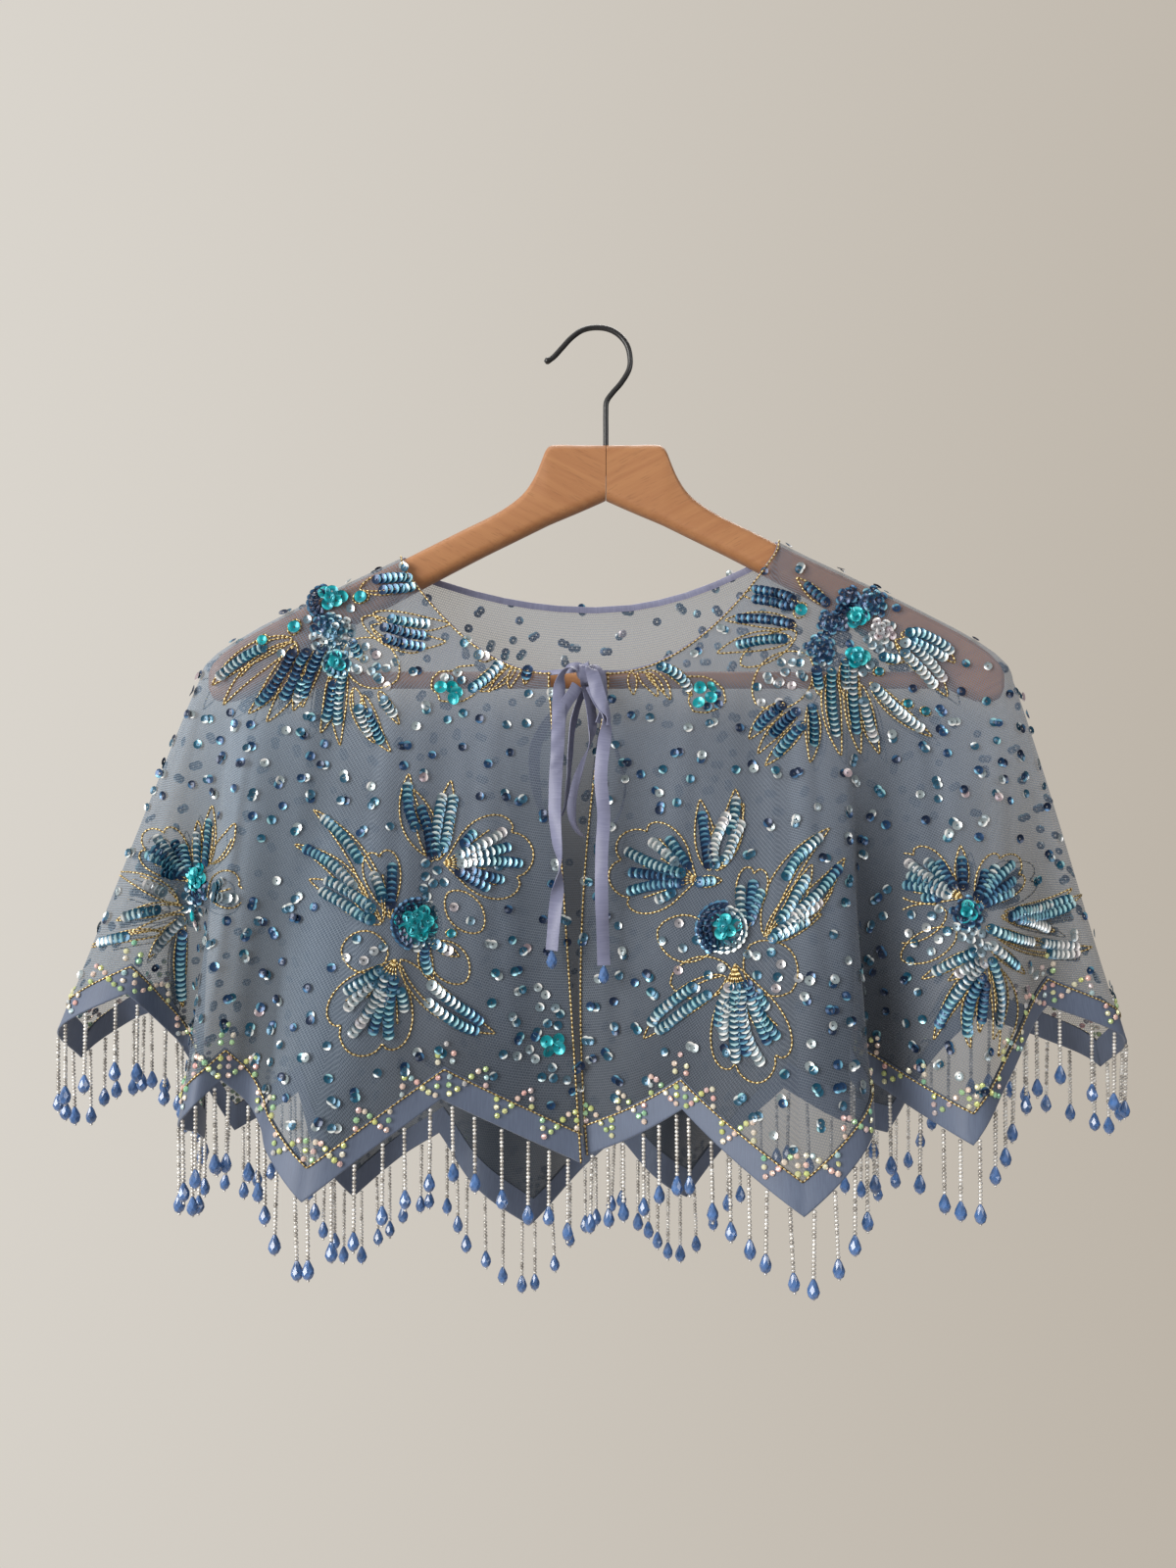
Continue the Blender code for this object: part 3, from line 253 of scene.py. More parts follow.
RIGHT_FOLD = table(
    FOLD_COLUMNS,
    (-5.6, -34.0, -190.6, 0.5, 0.3, -0.8, 5.6), (-2.6, -36.6, -190.6, 0.9, 0.2, -0.3, 6.2),
    (-0.6, -38.4, -195.6, 0.95, 0.0, 0.3, 7.0), (1.4, -40.4, -203.0, 0.9, 0.0, 0.4, 7.2),
    (4.4, -42.0, -210.4, 0.75, 0.3, 0.5, 5.6), (6.6, -42.4, -215.4, 0.4, 0.9, 0.2, 4.2),
    (6.6, -41.6, -219.6, 0.5, 0.9, 0.0, 3.0),
)
UNDER_FOLD = table(
    FOLD_COLUMNS,
    (-4.6, -31.0, -189.6, 0.2, 0.6, 1.0, 5.0), (0.4, -32.0, -189.6, 0.3, 0.7, 0.8, 5.6),
    (3.4, -33.0, -194.4, 0.8, 0.6, 0.2, 5.6), (4.4, -33.6, -202.0, 0.7, 0.7, 0.0, 5.0),
    (3.6, -33.2, -210.0, 0.6, 0.8, 0.0, 4.4), (1.4, -32.6, -218.0, 0.5, 0.8, 0.0, 4.0),
)
FOLD_SHARES = (-1.0, -0.6, -0.2, 0.2, 0.6, 1.0)

# Sizes of the trimmings
SEQUIN = 4.9
SEQUIN_PITCH = 2.95
RING_PITCH = 2.8
ROW_BREAK = 5.0
CORD_BREAK = 9.0
BIG_SEQUIN = 6.8
CORD_RADIUS = 0.56
CORD_STEP = 1.0
CORD_TWIST = 7.6
CORD_FLATNESS = 0.7
EDGE_CORD_RADIUS = 0.62
OFF_CLOTH = 0.5
SEED_PITCH = 1.95
SEED_START = 0.6
DROP_LENGTH = 9.7
STRANDS_PER_POINT = 12

# Tints of the sequins, from 0 to 1 along the dye
NAVY, BLUE, TEAL, SILVER, CLEAR, PINK, YELLOW = 0.0, 0.18, 0.36, 0.54, 0.7, 0.85, 1.0


# Curves and small helpers


def clamp(value, high=1.0):
    return min(high, max(0.0, value))


def smooth_step(value):
    value = np.clip(value, 0.0, 1.0)
    return value * value * (3.0 - 2.0 * value)


def unit(vector):
    vector = np.asarray(vector, float)
    return vector / max(1e-12, float(np.linalg.norm(vector)))


def way_along(points, k):
    """Direction of a path at its point k, from the point before to the point after."""
    return unit(points[min(k + 1, len(points) - 1)][:3] - points[max(k - 1, 0)][:3])


def spline(rows, at):
    """Smooth curve through rows whose first column is the running value."""
    columns = np.array(rows, float)
    keys, values = columns[:, 0], columns[:, 1:]
    at = min(max(at, keys[0]), keys[-1])
    last = len(rows) - 1
    i = 0
    while i < last - 1 and at > keys[i + 1]:
        i += 1

    def slope(k):
        low, high = max(k - 1, 0), min(k + 1, last)
        return (values[high] - values[low]) / (keys[high] - keys[low])

    width = keys[i + 1] - keys[i]
    t = (at - keys[i]) / width
    return (
        values[i] * (2 * t**3 - 3 * t**2 + 1)
        + slope(i) * width * (t**3 - 2 * t**2 + t)
        + values[i + 1] * (3 * t**2 - 2 * t**3)
        + slope(i + 1) * width * (t**3 - t**2)
    )


def running_lengths(points):
    """How far along a path each of its points lies; only the first three columns count."""
    gaps = np.linalg.norm(np.diff(np.asarray(points, float)[:, :3], axis=0), axis=1)
    return np.concatenate(([0.0], np.cumsum(gaps)))


def spaced(points, step, least=1):
    """The same path with its points about one step apart; further columns are carried along."""
    points = np.asarray(points, float)
    lengths = running_lengths(points)
    count = max(least, int(round(lengths[-1] / step)))
    wanted = np.linspace(0.0, lengths[-1], count + 1)
    return np.stack([np.interp(wanted, lengths, column) for column in points.T], 1)


def even_points(rows, step):
    """Points about one step apart on a smooth curve through the rows."""
    keyed = [(float(k),) + tuple(row) for k, row in enumerate(rows)]
    fine = [spline(keyed, k / 20.0) for k in range(20 * (len(rows) - 1) + 1)]
    return spaced(fine, step, 2)


def path_length(points):
    return float(running_lengths(points)[-1])


# The cloth's surface


def arm_sweep(reach):
    return -HANGER_SWEEP * (abs(reach) / HANGER_REACH) ** 2


def arm_top(reach):
    reach = min(abs(reach), HANGER_REACH)
    return float(np.interp(reach, [s.reach for s in ARM_STATIONS], [s.top for s in ARM_STATIONS]))


def ridge(reach):
    """Point of the cloth over the arm's top edge, at this reach."""
    reach = abs(reach)
    step = 3.0
    low, high = reach - step, min(reach + step, HANGER_REACH)
    run, rise = high - low, arm_top(high) - arm_top(low)
    length = math.hypot(run, rise)
    x = reach - rise / length * CLOTH_OFF_WOOD
    return x, arm_sweep(reach), arm_top(reach) + run / length * CLOTH_OFF_WOOD


def round_section(distance):
    """Way down from the ridge over the arm's rounded edge: outward and downward part."""
    flat = ARM_HALF_THICK - SECTION_ROUND
    radius = SECTION_ROUND + CLOTH_OFF_WOOD
    angle = min(max((distance - flat) / radius, 0.0), math.pi / 2)
    below = max(distance - flat - radius * math.pi / 2, 0.0)
    away = min(distance, flat) + radius * math.sin(angle) + BELOW_ARM_LEAN * below
    return away, radius * (1.0 - math.cos(angle)) + below


def rib_side(turn):
    """Side of the hanger, side of the cloth and turn of the nearest crossing and seam."""
    side, seam = (-1.0, LEFT_SEAM) if turn < CENTRE_BACK else (1.0, RIGHT_SEAM)
    facing = -1.0 if turn <= LEFT_SEAM or turn > RIGHT_SEAM else 1.0
    return side, facing, seam + side * facing * -CROSSING_TURNS, seam


def rib_top(turn, part):
    """Point of the cloth in the stretch above its free fall, part 0 to 1."""
    reach = float(spline(TOP_ROWS, turn)[0])
    side, facing, cross_turn, side_turn = rib_side(turn)
    crossing = LEFT_CROSSING if side < 0 else RIGHT_CROSSING
    past = (abs(turn - side_turn) - abs(cross_turn - side_turn)) / WRAP_TURN
    if past <= 0.0:
        out_x, y, z = ridge(reach)
        away, down = round_section(OVER_ARM * part)
        angle = math.pi / 2 * max(0.0, 1.0 - abs(turn - side_turn) / TIP_TURN)
        x = out_x + math.sin(angle) * TIP_BULGE * away
        return np.array((HANGER_X + side * x, y + facing * away * math.cos(angle), z - down))
    wrap = min(past, 1.0)
    out_x, ridge_y, ridge_z = ridge(crossing - NECK_INSET * wrap)
    if past <= 1.0:
        wrapped = OVER_ARM * wrap + OVER_ARM * part * (1.0 - WRAP_SHORTENING * wrap)
        away, down = round_section(wrapped)
        return np.array((HANGER_X + side * out_x, ridge_y + facing * away, ridge_z - down))
    x = HANGER_X - reach
    start_x = HANGER_X + side * out_x
    away, down = round_section(OVER_ARM)
    start_y, start_z = ridge_y + facing * away, ridge_z - down
    drop = UNDER_NECK * part
    if facing < 0:
        edge_reach = LEFT_EDGE_REACH if side < 0 else RIGHT_EDGE_REACH
        t = (x - start_x) / (HANGER_X - edge_reach - start_x)
        y = start_y + (FRONT_NECK_Y - start_y) * t**0.8
        z = FRONT_NECK_LEVEL + (start_z - FRONT_NECK_LEVEL) * (1.0 - t) ** 2
    else:
        middle = HANGER_X - spline(TOP_ROWS, float(CENTRE_BACK))[0]
        t = (x - start_x) / (middle - start_x)
        y = start_y + (BACK_NECK_Y - start_y) * (1.0 - (1.0 - t) ** 2)
        low = ridge(LEFT_CROSSING)[2] - BACK_NECK_DROP
        z = low + (start_z - low) * (1.0 - t) ** 2
    return np.array((x, y + facing * NECK_LEAN * drop, z - drop))


def hem_point(turn):
    """Edge of the hem: tips at whole turns, notches half-way between them."""
    x, y, level = spline(HEM_ROWS, turn)
    wave = 4.0 * abs(turn - round(turn)) - 1.0
    return np.array((x, y, level + POINT_HEIGHT * wave))


def crease_depth(turns, falls):
    """How far the listed creases lift the cloth, on arrays of equal shape."""
    depth = np.zeros(turns.shape)
    for row in CREASES:
        share = (falls - row.fall_from) / (row.fall_to - row.fall_from)
        centre = row.turn_from + (row.turn_to - row.turn_from) * share
        across = np.clip(1.0 - (np.abs(turns - centre) / row.half_turn) ** 2, 0.0, 1.0) ** 2
        depth += row.depth * across * np.sin(np.pi * np.clip(share, 0.0, 1.0)) ** 0.7
    return depth


def grid_normals(points):
    normals = np.cross(np.gradient(points, axis=0), np.gradient(points, axis=1))
    return normals / np.maximum(1e-9, np.linalg.norm(normals, axis=2))[..., None]


Panel = namedtuple("Panel", "name turns heights points normals flat")


def cloth_panel(name, first, last):
    """Fine grid of one panel down to the hem's edge.

    Rows are falls from 0 to 2. "heights" holds each point's height above the hem,
    and "flat" its place on the flat cloth: along the hem and down from the neck.
    """
    turns = np.linspace(first, last, int((last - first) * COLUMNS_PER_TURN) + 1)
    wrap = np.linspace(0.0, 1.0, WRAP_ROWS + 1)
    share = np.linspace(0.0, 1.0, HANG_ROWS + 1)[1:]
    spread, folds = share**SPREAD_GROWTH, share**FOLD_GROWTH
    falls = np.concatenate((wrap, 1.0 + share))
    points = np.zeros((len(turns), len(falls), 3))
    for column, turn in zip(points, turns):
        column[: len(wrap)] = [rib_top(turn, part) for part in wrap]
        start, hem, plain = column[WRAP_ROWS], hem_point(turn), spline(PLAIN_ROWS, turn)
        for axis in (0, 1):
            column[len(wrap):, axis] = (
                start[axis] + (plain[axis] - start[axis]) * spread + (hem[axis] - plain[axis]) * folds
            )
        bow = RIGHT_EDGE_BOW * smooth_step(turn - (RIGHT_EDGE - 1))
        column[len(wrap):, 0] += bow * 4.0 * share * (1.0 - share)
        column[len(wrap):, 2] = start[2] + (hem[2] - start[2]) * share
    grid_turns, grid_falls = np.meshgrid(turns, falls, indexing="ij")
    points = points + grid_normals(points) * crease_depth(grid_turns, grid_falls)[..., None]
    heights = points[..., 2] - points[:, -1:, 2]
    down = np.cumsum(np.linalg.norm(np.diff(points, axis=1, prepend=points[:, :1]), axis=2), axis=1)
    flat = np.stack((grid_turns * POINT_PITCH, down), axis=2)
    return Panel(name, turns, heights, points, grid_normals(points), flat)


PANELS = {
    "front_left": cloth_panel("front_left", LEFT_EDGE, LEFT_SEAM),
    "back": cloth_panel("back", LEFT_SEAM, RIGHT_SEAM),
    "front_right": cloth_panel("front_right", RIGHT_SEAM, RIGHT_EDGE),
}


def on_panel(panel, turn, row, lift=0.0):
    """Point and outward direction on a panel, at a turn and a row that needn't be whole."""
    i = np.interp(turn, panel.turns, np.arange(len(panel.turns)))
    i0 = int(min(i, len(panel.turns) - 2))
    j0 = int(min(max(row, 0), panel.points.shape[1] - 2))
    u, v = i - i0, min(max(row - j0, 0.0), 1.0)

    def mixed(grid):
        top = grid[i0, j0] * (1 - u) + grid[i0 + 1, j0] * u
        low = grid[i0, j0 + 1] * (1 - u) + grid[i0 + 1, j0 + 1] * u
        return top * (1 - v) + low * v

    normal = unit(mixed(panel.normals))
    return mixed(panel.points) + normal * lift, normal


def above_hem(panel, turn, height, lift=0.0):
    """Point on the cloth this far above the hem's edge at this turn."""
    i = int(round(np.interp(turn, panel.turns, np.arange(len(panel.turns)))))
    heights = panel.heights[i, ::-1]
    row = panel.points.shape[1] - 1 - np.interp(height, heights, np.arange(len(heights)))
    return on_panel(panel, turn, row, lift)


# Meshes


def add_object(name, data):
    piece = bpy.data.objects.new(name, data)
    bpy.context.collection.objects.link(piece)
    return piece


def add_mesh(name, points, faces, material=None, smooth=True, sharp_angle=None, flat=None):
    """Object at the origin from points in millimetres; "flat" is its map in metres."""
    mesh = bpy.data.meshes.new(name)
    mesh.from_pydata((np.asarray(points, float) * MM).tolist(), [], faces)
    if smooth:
        mesh.shade_smooth()
    if sharp_angle is not None:
        mesh.set_sharp_from_angle(angle=math.radians(sharp_angle))
    if flat is not None:
        layer = mesh.uv_layers.new(name="flat")
        loops = np.zeros(len(mesh.loops), int)
        mesh.loops.foreach_get("vertex_index", loops)
        layer.data.foreach_set("uv", np.asarray(flat, float)[loops].ravel())
    if material is not None:
        mesh.materials.append(material)
    return add_object(name, mesh)


def belongs(piece, node=None):
    """The piece rides on the one body, and may replace a node."""
    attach(piece, "root")
    if node:
        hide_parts(node)
    return piece


def grid_faces(columns, rows, closed_rows=False):
    """Faces of a grid whose points run down each column, turned outwards."""
    faces = []
    for i in range(columns - 1):
        for j in range(rows if closed_rows else rows - 1):
            a, b = i * rows + j, (i + 1) * rows + j
            c, d = i * rows + (j + 1) % rows, (i + 1) * rows + (j + 1) % rows
            faces.append((a, c, d, b))
    return faces


def sweep(name, rings, material, sharp_angle=40.0, flat=None):
    """Tube through rings of equal length, with its ends filled."""
    rings = np.asarray(rings, float)
    count, size = rings.shape[:2]
    faces = grid_faces(count, size, closed_rows=True)
    faces.append(tuple(range(size))[::-1])
    faces.append(tuple((count - 1) * size + n for n in range(size)))
    return add_mesh(name, rings.reshape(-1, 3), faces, material, True, sharp_angle, flat)


# Nodes


def feed(tree, socket, value):
    """Gives a socket a value, or links it where the value is a (node, output) pair."""
    if isinstance(value, tuple) and isinstance(value[0], bpy.types.Node):
        tree.links.new(value[0].outputs[value[1]], socket)
    elif socket.type == "RGBA" and len(value) == 3:
        socket.default_value = (*value, 1.0)
    else:
        socket.default_value = value


def add_node(tree, kind, sockets=None, **settings):
    """Node with its settings, and its sockets fed by name or by number."""
    node = tree.nodes.new(kind)
    node.location = (200 * len(tree.nodes), 0)
    for label, value in settings.items():
        setattr(node, label, value)
    for label, value in (sockets or {}).items():
        feed(tree, node.inputs[label], value)
    return node


def maths(tree, operation, *values):
    """Result of a maths node on values or (node, output) pairs."""
    return add_node(tree, "ShaderNodeMath", dict(enumerate(values)), operation=operation), 0


# Geometry nodes: trimmings that repeat


def new_tree(name, **inputs):
    """Node tree with named inputs: the tree, its input node and the inputs' identifiers."""
    tree = bpy.data.node_groups.new(name, "GeometryNodeTree")
    new_socket = tree.interface.new_socket
    new_socket("Geometry", in_out="OUTPUT", socket_type="NodeSocketGeometry")
    new_socket("Geometry", in_out="INPUT", socket_type="NodeSocketGeometry")
    identifiers = {}
    for label, kind in inputs.items():
        identifiers[label] = new_socket(label, in_out="INPUT", socket_type="NodeSocket" + kind).identifier
    return tree, add_node(tree, "NodeGroupInput"), identifiers


def end_tree(tree, start, geometry):
    """Makes the copies real, gives them their material and ends the tree."""
    real = add_node(tree, "GeometryNodeRealizeInstances", {"Geometry": geometry})
    sockets = {"Geometry": (real, "Geometry"), "Material": (start, "Material")}
    paint = add_node(tree, "GeometryNodeSetMaterial", sockets)
    add_node(tree, "NodeGroupOutput", {"Geometry": (paint, "Geometry")})


def column_of(tree, name, kind):
    """A column of the points, by its name."""
    return add_node(tree, "GeometryNodeInputNamedAttribute", {"Name": name}, data_type=kind), "Attribute"


def trimming_tree():
    """Sews one copy of a shape on every point, turned and sized by the points' columns."""
    inputs = {"Shape": "Object", "Scale": "Float", "Material": "Material"}
    tree, start, identifiers = new_tree("sewn on points", **inputs)
    shape = add_node(tree, "GeometryNodeObjectInfo", {"Object": (start, "Shape")})
    axes = {
        "Primary Axis": column_of(tree, "facing", "FLOAT_VECTOR"),
        "Secondary Axis": column_of(tree, "along", "FLOAT_VECTOR"),
    }
    turn = add_node(tree, "FunctionNodeAxesToRotation", axes, primary_axis="Z", secondary_axis="X")
    sewing = {
        "Points": (start, "Geometry"),
        "Instance": (shape, "Geometry"),
        "Rotation": (turn, "Rotation"),
        "Scale": maths(tree, "MULTIPLY", column_of(tree, "size", "FLOAT"), (start, "Scale")),
    }
    sew = add_node(tree, "GeometryNodeInstanceOnPoints", sewing)
    end_tree(tree, start, (sew, "Instances"))
    return tree, identifiers


def cord_tree():
    """Makes a twisted cord of every run of edges, and keeps the length along it."""
    inputs = dict.fromkeys(("Radius", "Step", "Twist", "Flatness"), "Float")
    tree, start, identifiers = new_tree("twisted cord", **inputs, Material="Material")
    curve = add_node(tree, "GeometryNodeMeshToCurve", {"Mesh": (start, "Geometry")})
    stepping = {"Curve": (curve, "Curve"), "Length": (start, "Step")}
    even = add_node(tree, "GeometryNodeResampleCurve", stepping, mode="LENGTH")
    length = (add_node(tree, "GeometryNodeSplineParameter"), "Length")
    twisting = {"Curve": (even, "Curve"), "Tilt": maths(tree, "MULTIPLY", length, (start, "Twist"))}
    twisted = add_node(tree, "GeometryNodeSetCurveTilt", twisting)
    keeping = {"Geometry": (twisted, "Curve"), "Name": "lay", "Value": length}
    keep = add_node(tree, "GeometryNodeStoreNamedAttribute", keeping, data_type="FLOAT", domain="POINT")
    circle = {"Resolution": 4, "Radius": (start, "Radius")}
    profile = add_node(tree, "GeometryNodeCurvePrimitiveCircle", circle)
    squeeze = add_node(tree, "ShaderNodeCombineXYZ", {"X": 1.0, "Y": (start, "Flatness"), "Z": 1.0})
    squeezing = {"Geometry": (profile, "Curve"), "Scale": (squeeze, "Vector")}
    shape = add_node(tree, "GeometryNodeTransform", squeezing)
    skin = {"Curve": (keep, "Geometry"), "Profile Curve": (shape, "Geometry"), "Fill Caps": True}
    tube = add_node(tree, "GeometryNodeCurveToMesh", skin)
    smooth = add_node(tree, "GeometryNodeSetShadeSmooth", {"Geometry": (tube, "Mesh")})
    end_tree(tree, start, (smooth, "Geometry"))
    return tree, identifiers


TRIMMING_TREE, TRIMMING_INPUTS = trimming_tree()
CORD_TREE, CORD_INPUTS = cord_tree()


def made_by_tree(name, mesh, tree, identifiers, values):
    """Plain mesh object that a tree makes of a mesh."""
    maker = add_object(name + "_maker", mesh)
    modifier = maker.modifiers.new("make", "NODES")
    modifier.node_group = tree
    for label, value in values.items():
        modifier[identifiers[label]] = value
    graph = bpy.context.evaluated_depsgraph_get()
    made = bpy.data.meshes.new_from_object(maker.evaluated_get(graph))
    bpy.data.objects.remove(maker, do_unlink=True)
    bpy.data.meshes.remove(mesh)
    made.name = name
    return add_object(name, made)


Sewn = namedtuple("Sewn", "place facing along size tint")
SEWN_COLUMNS = table(
    "name kind socket",
    ("facing", "FLOAT_VECTOR", "vector"), ("along", "FLOAT_VECTOR", "vector"),
    ("size", "FLOAT", "value"), ("tint", "FLOAT", "value"),
)


def sew_on(name, spots, shape, material):
    """One piece of many copies of a shape."""
    mesh = bpy.data.meshes.new(name + "_points")
    mesh.from_pydata([tuple(s.place * MM) for s in spots], [], [])
    for row in SEWN_COLUMNS:
        values = np.array([getattr(s, row.name) for s in spots], float).ravel()
        mesh.attributes.new(row.name, row.kind, "POINT").data.foreach_set(row.socket, values)
    values = {"Shape": shape, "Scale": 1.0, "Material": material}
    piece = made_by_tree(name, mesh, TRIMMING_TREE, TRIMMING_INPUTS, values)
    for label in ("facing", "along", "size"):
        if label in piece.data.attributes:
            piece.data.attributes.remove(piece.data.attributes[label])
    return piece


def lay_cord(name, lines, radius, material):
    """One piece of twisted cord along many lines."""
    points, edges = [], []
    for line in lines:
        start = len(points)
        points += [tuple(np.asarray(p, float) * MM) for p in line]
        edges += [(start + k, start + k + 1) for k in range(len(line) - 1)]
    mesh = bpy.data.meshes.new(name + "_lines")
    mesh.from_pydata(points, edges, [])
    values = {
        "Radius": radius * MM,
        "Step": CORD_STEP * MM,
        "Twist": FULL_TURN / (CORD_TWIST * MM),
        "Flatness": CORD_FLATNESS,
        "Material": material,
    }
    return made_by_tree(name, mesh, CORD_TREE, CORD_INPUTS, values)


def ring_points(rings, sides, stagger=0.0):
    """Points of (radius, height) rings about Z; every other ring may be turned on a little."""
    points = []
    for k, (radius, height) in enumerate(rings):
        for n in range(sides):
            angle = FULL_TURN * (n + stagger * (k % 2)) / sides
            points.append((radius * math.cos(angle), radius * math.sin(angle), height))
    return points


def turned_shape(name, rings, sides, smooth=False, close=(True, True)):
    """Shape turned about Z from (radius, height) rings; the end removes it again."""
    faces = []
    for low in range(0, (len(rings) - 1) * sides, sides):
        for n in range(sides):
            m = (n + 1) % sides
            faces.append((low + n, low + m, low + sides + m, low + sides + n))
    if close[0]:
        faces.append(tuple(range(sides))[::-1])
    if close[1]:
        faces.append(tuple((len(rings) - 1) * sides + n for n in range(sides)))
    return add_mesh(name, ring_points(rings, sides), faces, None, smooth)


def cut_drop(name, rings, sides):
    """Glass drop whose rings of corners are staggered, so that its cuts are triangles."""
    faces = []
    for k in range(len(rings) - 1):
        low, high = k * sides, (k + 1) * sides
        for n in range(sides):
            m = (n + 1) % sides
            if k % 2:
                faces += [(low + n, high + m, low + m), (low + n, high + n, high + m)]
            else:
                faces += [(low + n, high + n, low + m), (low + m, high + n, high + m)]
    faces.append(tuple(range(sides)))
    faces.append(tuple((len(rings) - 1) * sides + n for n in range(sides))[::-1])
    return add_mesh(name, ring_points(rings, sides, 0.5), faces, None, False)


def cup_sequin(name, size, hole, cup, sides):
    """Cupped sequin with a hole in its middle, hollow side along +Z."""
    half = 0.5 * size
    rings = [(hole, 0.0), (0.62 * half, 0.16 * cup), (half, cup)]
    shape = turned_shape(name, rings, sides, True, (False, False))
    layer = shape.data.uv_layers.new(name="disc")
    for loop in shape.data.loops:
        corner = shape.data.vertices[loop.vertex_index].co
        layer.data[loop.index].uv = (corner.x / (half * MM), corner.y / (half * MM))
    return shape


# Materials


def grey(value):
    return value, value, value


BLACK = grey(0.0)
WHITE = grey(1.0)


def shader_group(name, inputs, outputs):
    """Shader group and its input node, from (label, kind, value) and (label, kind) rows."""
    group = bpy.data.node_groups.new(name, "ShaderNodeTree")
    for label, kind, value in inputs:
        socket = group.interface.new_socket(label, in_out="INPUT", socket_type="NodeSocket" + kind)
        if value is not None:
            socket.default_value = value
    for label, kind in outputs:
        group.interface.new_socket(label, in_out="OUTPUT", socket_type="NodeSocket" + kind)
    return group, add_node(group, "NodeGroupInput")


def ramp(tree, source, *stops):
    """Colour ramp over (place, colour) stops."""
    node = add_node(tree, "ShaderNodeValToRGB", {"Fac": source})
    elements = node.color_ramp.elements
    while len(elements) < len(stops):
        elements.new(0.5)
    for element, (place, colour) in zip(elements, stops):
        element.position = place
        element.color = (*colour, 1.0)
    return node, "Color"


def mix(tree, share, a, b, blend="MIX"):
    """Two colours mixed; each of share, a and b is a value or a (node, output) pair."""
    return add_node(tree, "ShaderNodeMix", {0: share, 6: a, 7: b}, data_type="RGBA", blend_type=blend), 2


def ranged(tree, value, span, into=(0.0, 1.0), **settings):
    """Value carried from one span to another."""
    sockets = {"Value": value, "From Min": span[0], "From Max": span[1]}
    sockets.update({"To Min": into[0], "To Max": into[1]})
    return add_node(tree, "ShaderNodeMapRange", sockets, **settings), "Result"


def scaled(tree, vector, scale):
    return add_node(tree, "ShaderNodeVectorMath", {0: vector, "Scale": scale}, operation="SCALE"), 0


def stretched(tree, vector, factors):
    return add_node(tree, "ShaderNodeVectorMath", {0: vector, 1: factors}, operation="MULTIPLY"), 0


def noise(tree, where, scale=1.0, detail=2.0, distortion=0.0):
    sockets = {"Vector": where, "Scale": scale, "Detail": detail, "Distortion": distortion}
    return add_node(tree, "ShaderNodeTexNoise", sockets), "Fac"


def attribute(tree, name):
    return add_node(tree, "ShaderNodeAttribute", attribute_name=name), "Fac"


def own_map(tree, name):
    return add_node(tree, "ShaderNodeUVMap", uv_map=name), "UV"


def in_place(tree):
    """Object coordinates."""
    return add_node(tree, "ShaderNodeTexCoord"), "Object"


def split(tree, vector):
    return add_node(tree, "ShaderNodeSeparateXYZ", {0: vector})


def net_group():
    """Fine net: rows of staggered openings on the piece's own flat map, in millimetres."""
    inputs = [("Cell", "Float", 1.0), ("Thread", "Float", 0.2)]
    group, start = shader_group("net weave", inputs, [("Threads", "Float"), ("Height", "Float")])
    per_cell = maths(group, "DIVIDE", 1000.0, (start, "Cell"))
    openings = {
        "Vector": scaled(group, own_map(group, "flat"), per_cell),
        "Scale": 1.0,
        "Brick Width": 1.0,
        "Row Height": 0.86,
        "Mortar Smooth": 0.6,
        "Mortar Size": (start, "Thread"),
    }
    brick = add_node(group, "ShaderNodeTexBrick", openings)
    add_node(group, "NodeGroupOutput", {"Threads": (brick, "Fac"), "Height": (brick, "Fac")})
    return group


def tone_group():
    """Uneven tone: soft patches that darken or lighten a colour."""
    inputs = [("Color", "Color", (1, 1, 1, 1)), ("Scale", "Float", 10.0), ("Amount", "Float", 0.2)]
    group, start = shader_group("uneven tone", inputs, [("Color", "Color"), ("Patches", "Float")])
    patches = noise(group, in_place(group), (start, "Scale"), 3.0)
    centred = maths(group, "SUBTRACT", patches, 0.5)
    wide = maths(group, "MULTIPLY", centred, (start, "Amount"))
    share = maths(group, "MULTIPLY_ADD", wide, 2.0, 1.0)
    uneven = scaled(group, (start, "Color"), share)
    add_node(group, "NodeGroupOutput", {"Color": uneven, "Patches": patches})
    return group


def satin_group():
    """Fine cross ribs of a woven satin, on the piece's own flat map."""
    outputs = [("Height", "Float"), ("Slubs", "Float")]
    group, start = shader_group("satin ribs", [("Pitch", "Float", 0.4)], outputs)
    where = own_map(group, "flat")
    metres = maths(group, "MULTIPLY", (start, "Pitch"), MM)
    count = maths(group, "DIVIDE", (split(group, where), "X"), metres)
    rib = maths(group, "SINE", maths(group, "MULTIPLY", count, FULL_TURN))
    slubs = noise(group, stretched(group, where, (1500.0, 90.0, 1.0)))
    add_node(group, "NodeGroupOutput", {"Height": rib, "Slubs": slubs})
    return group


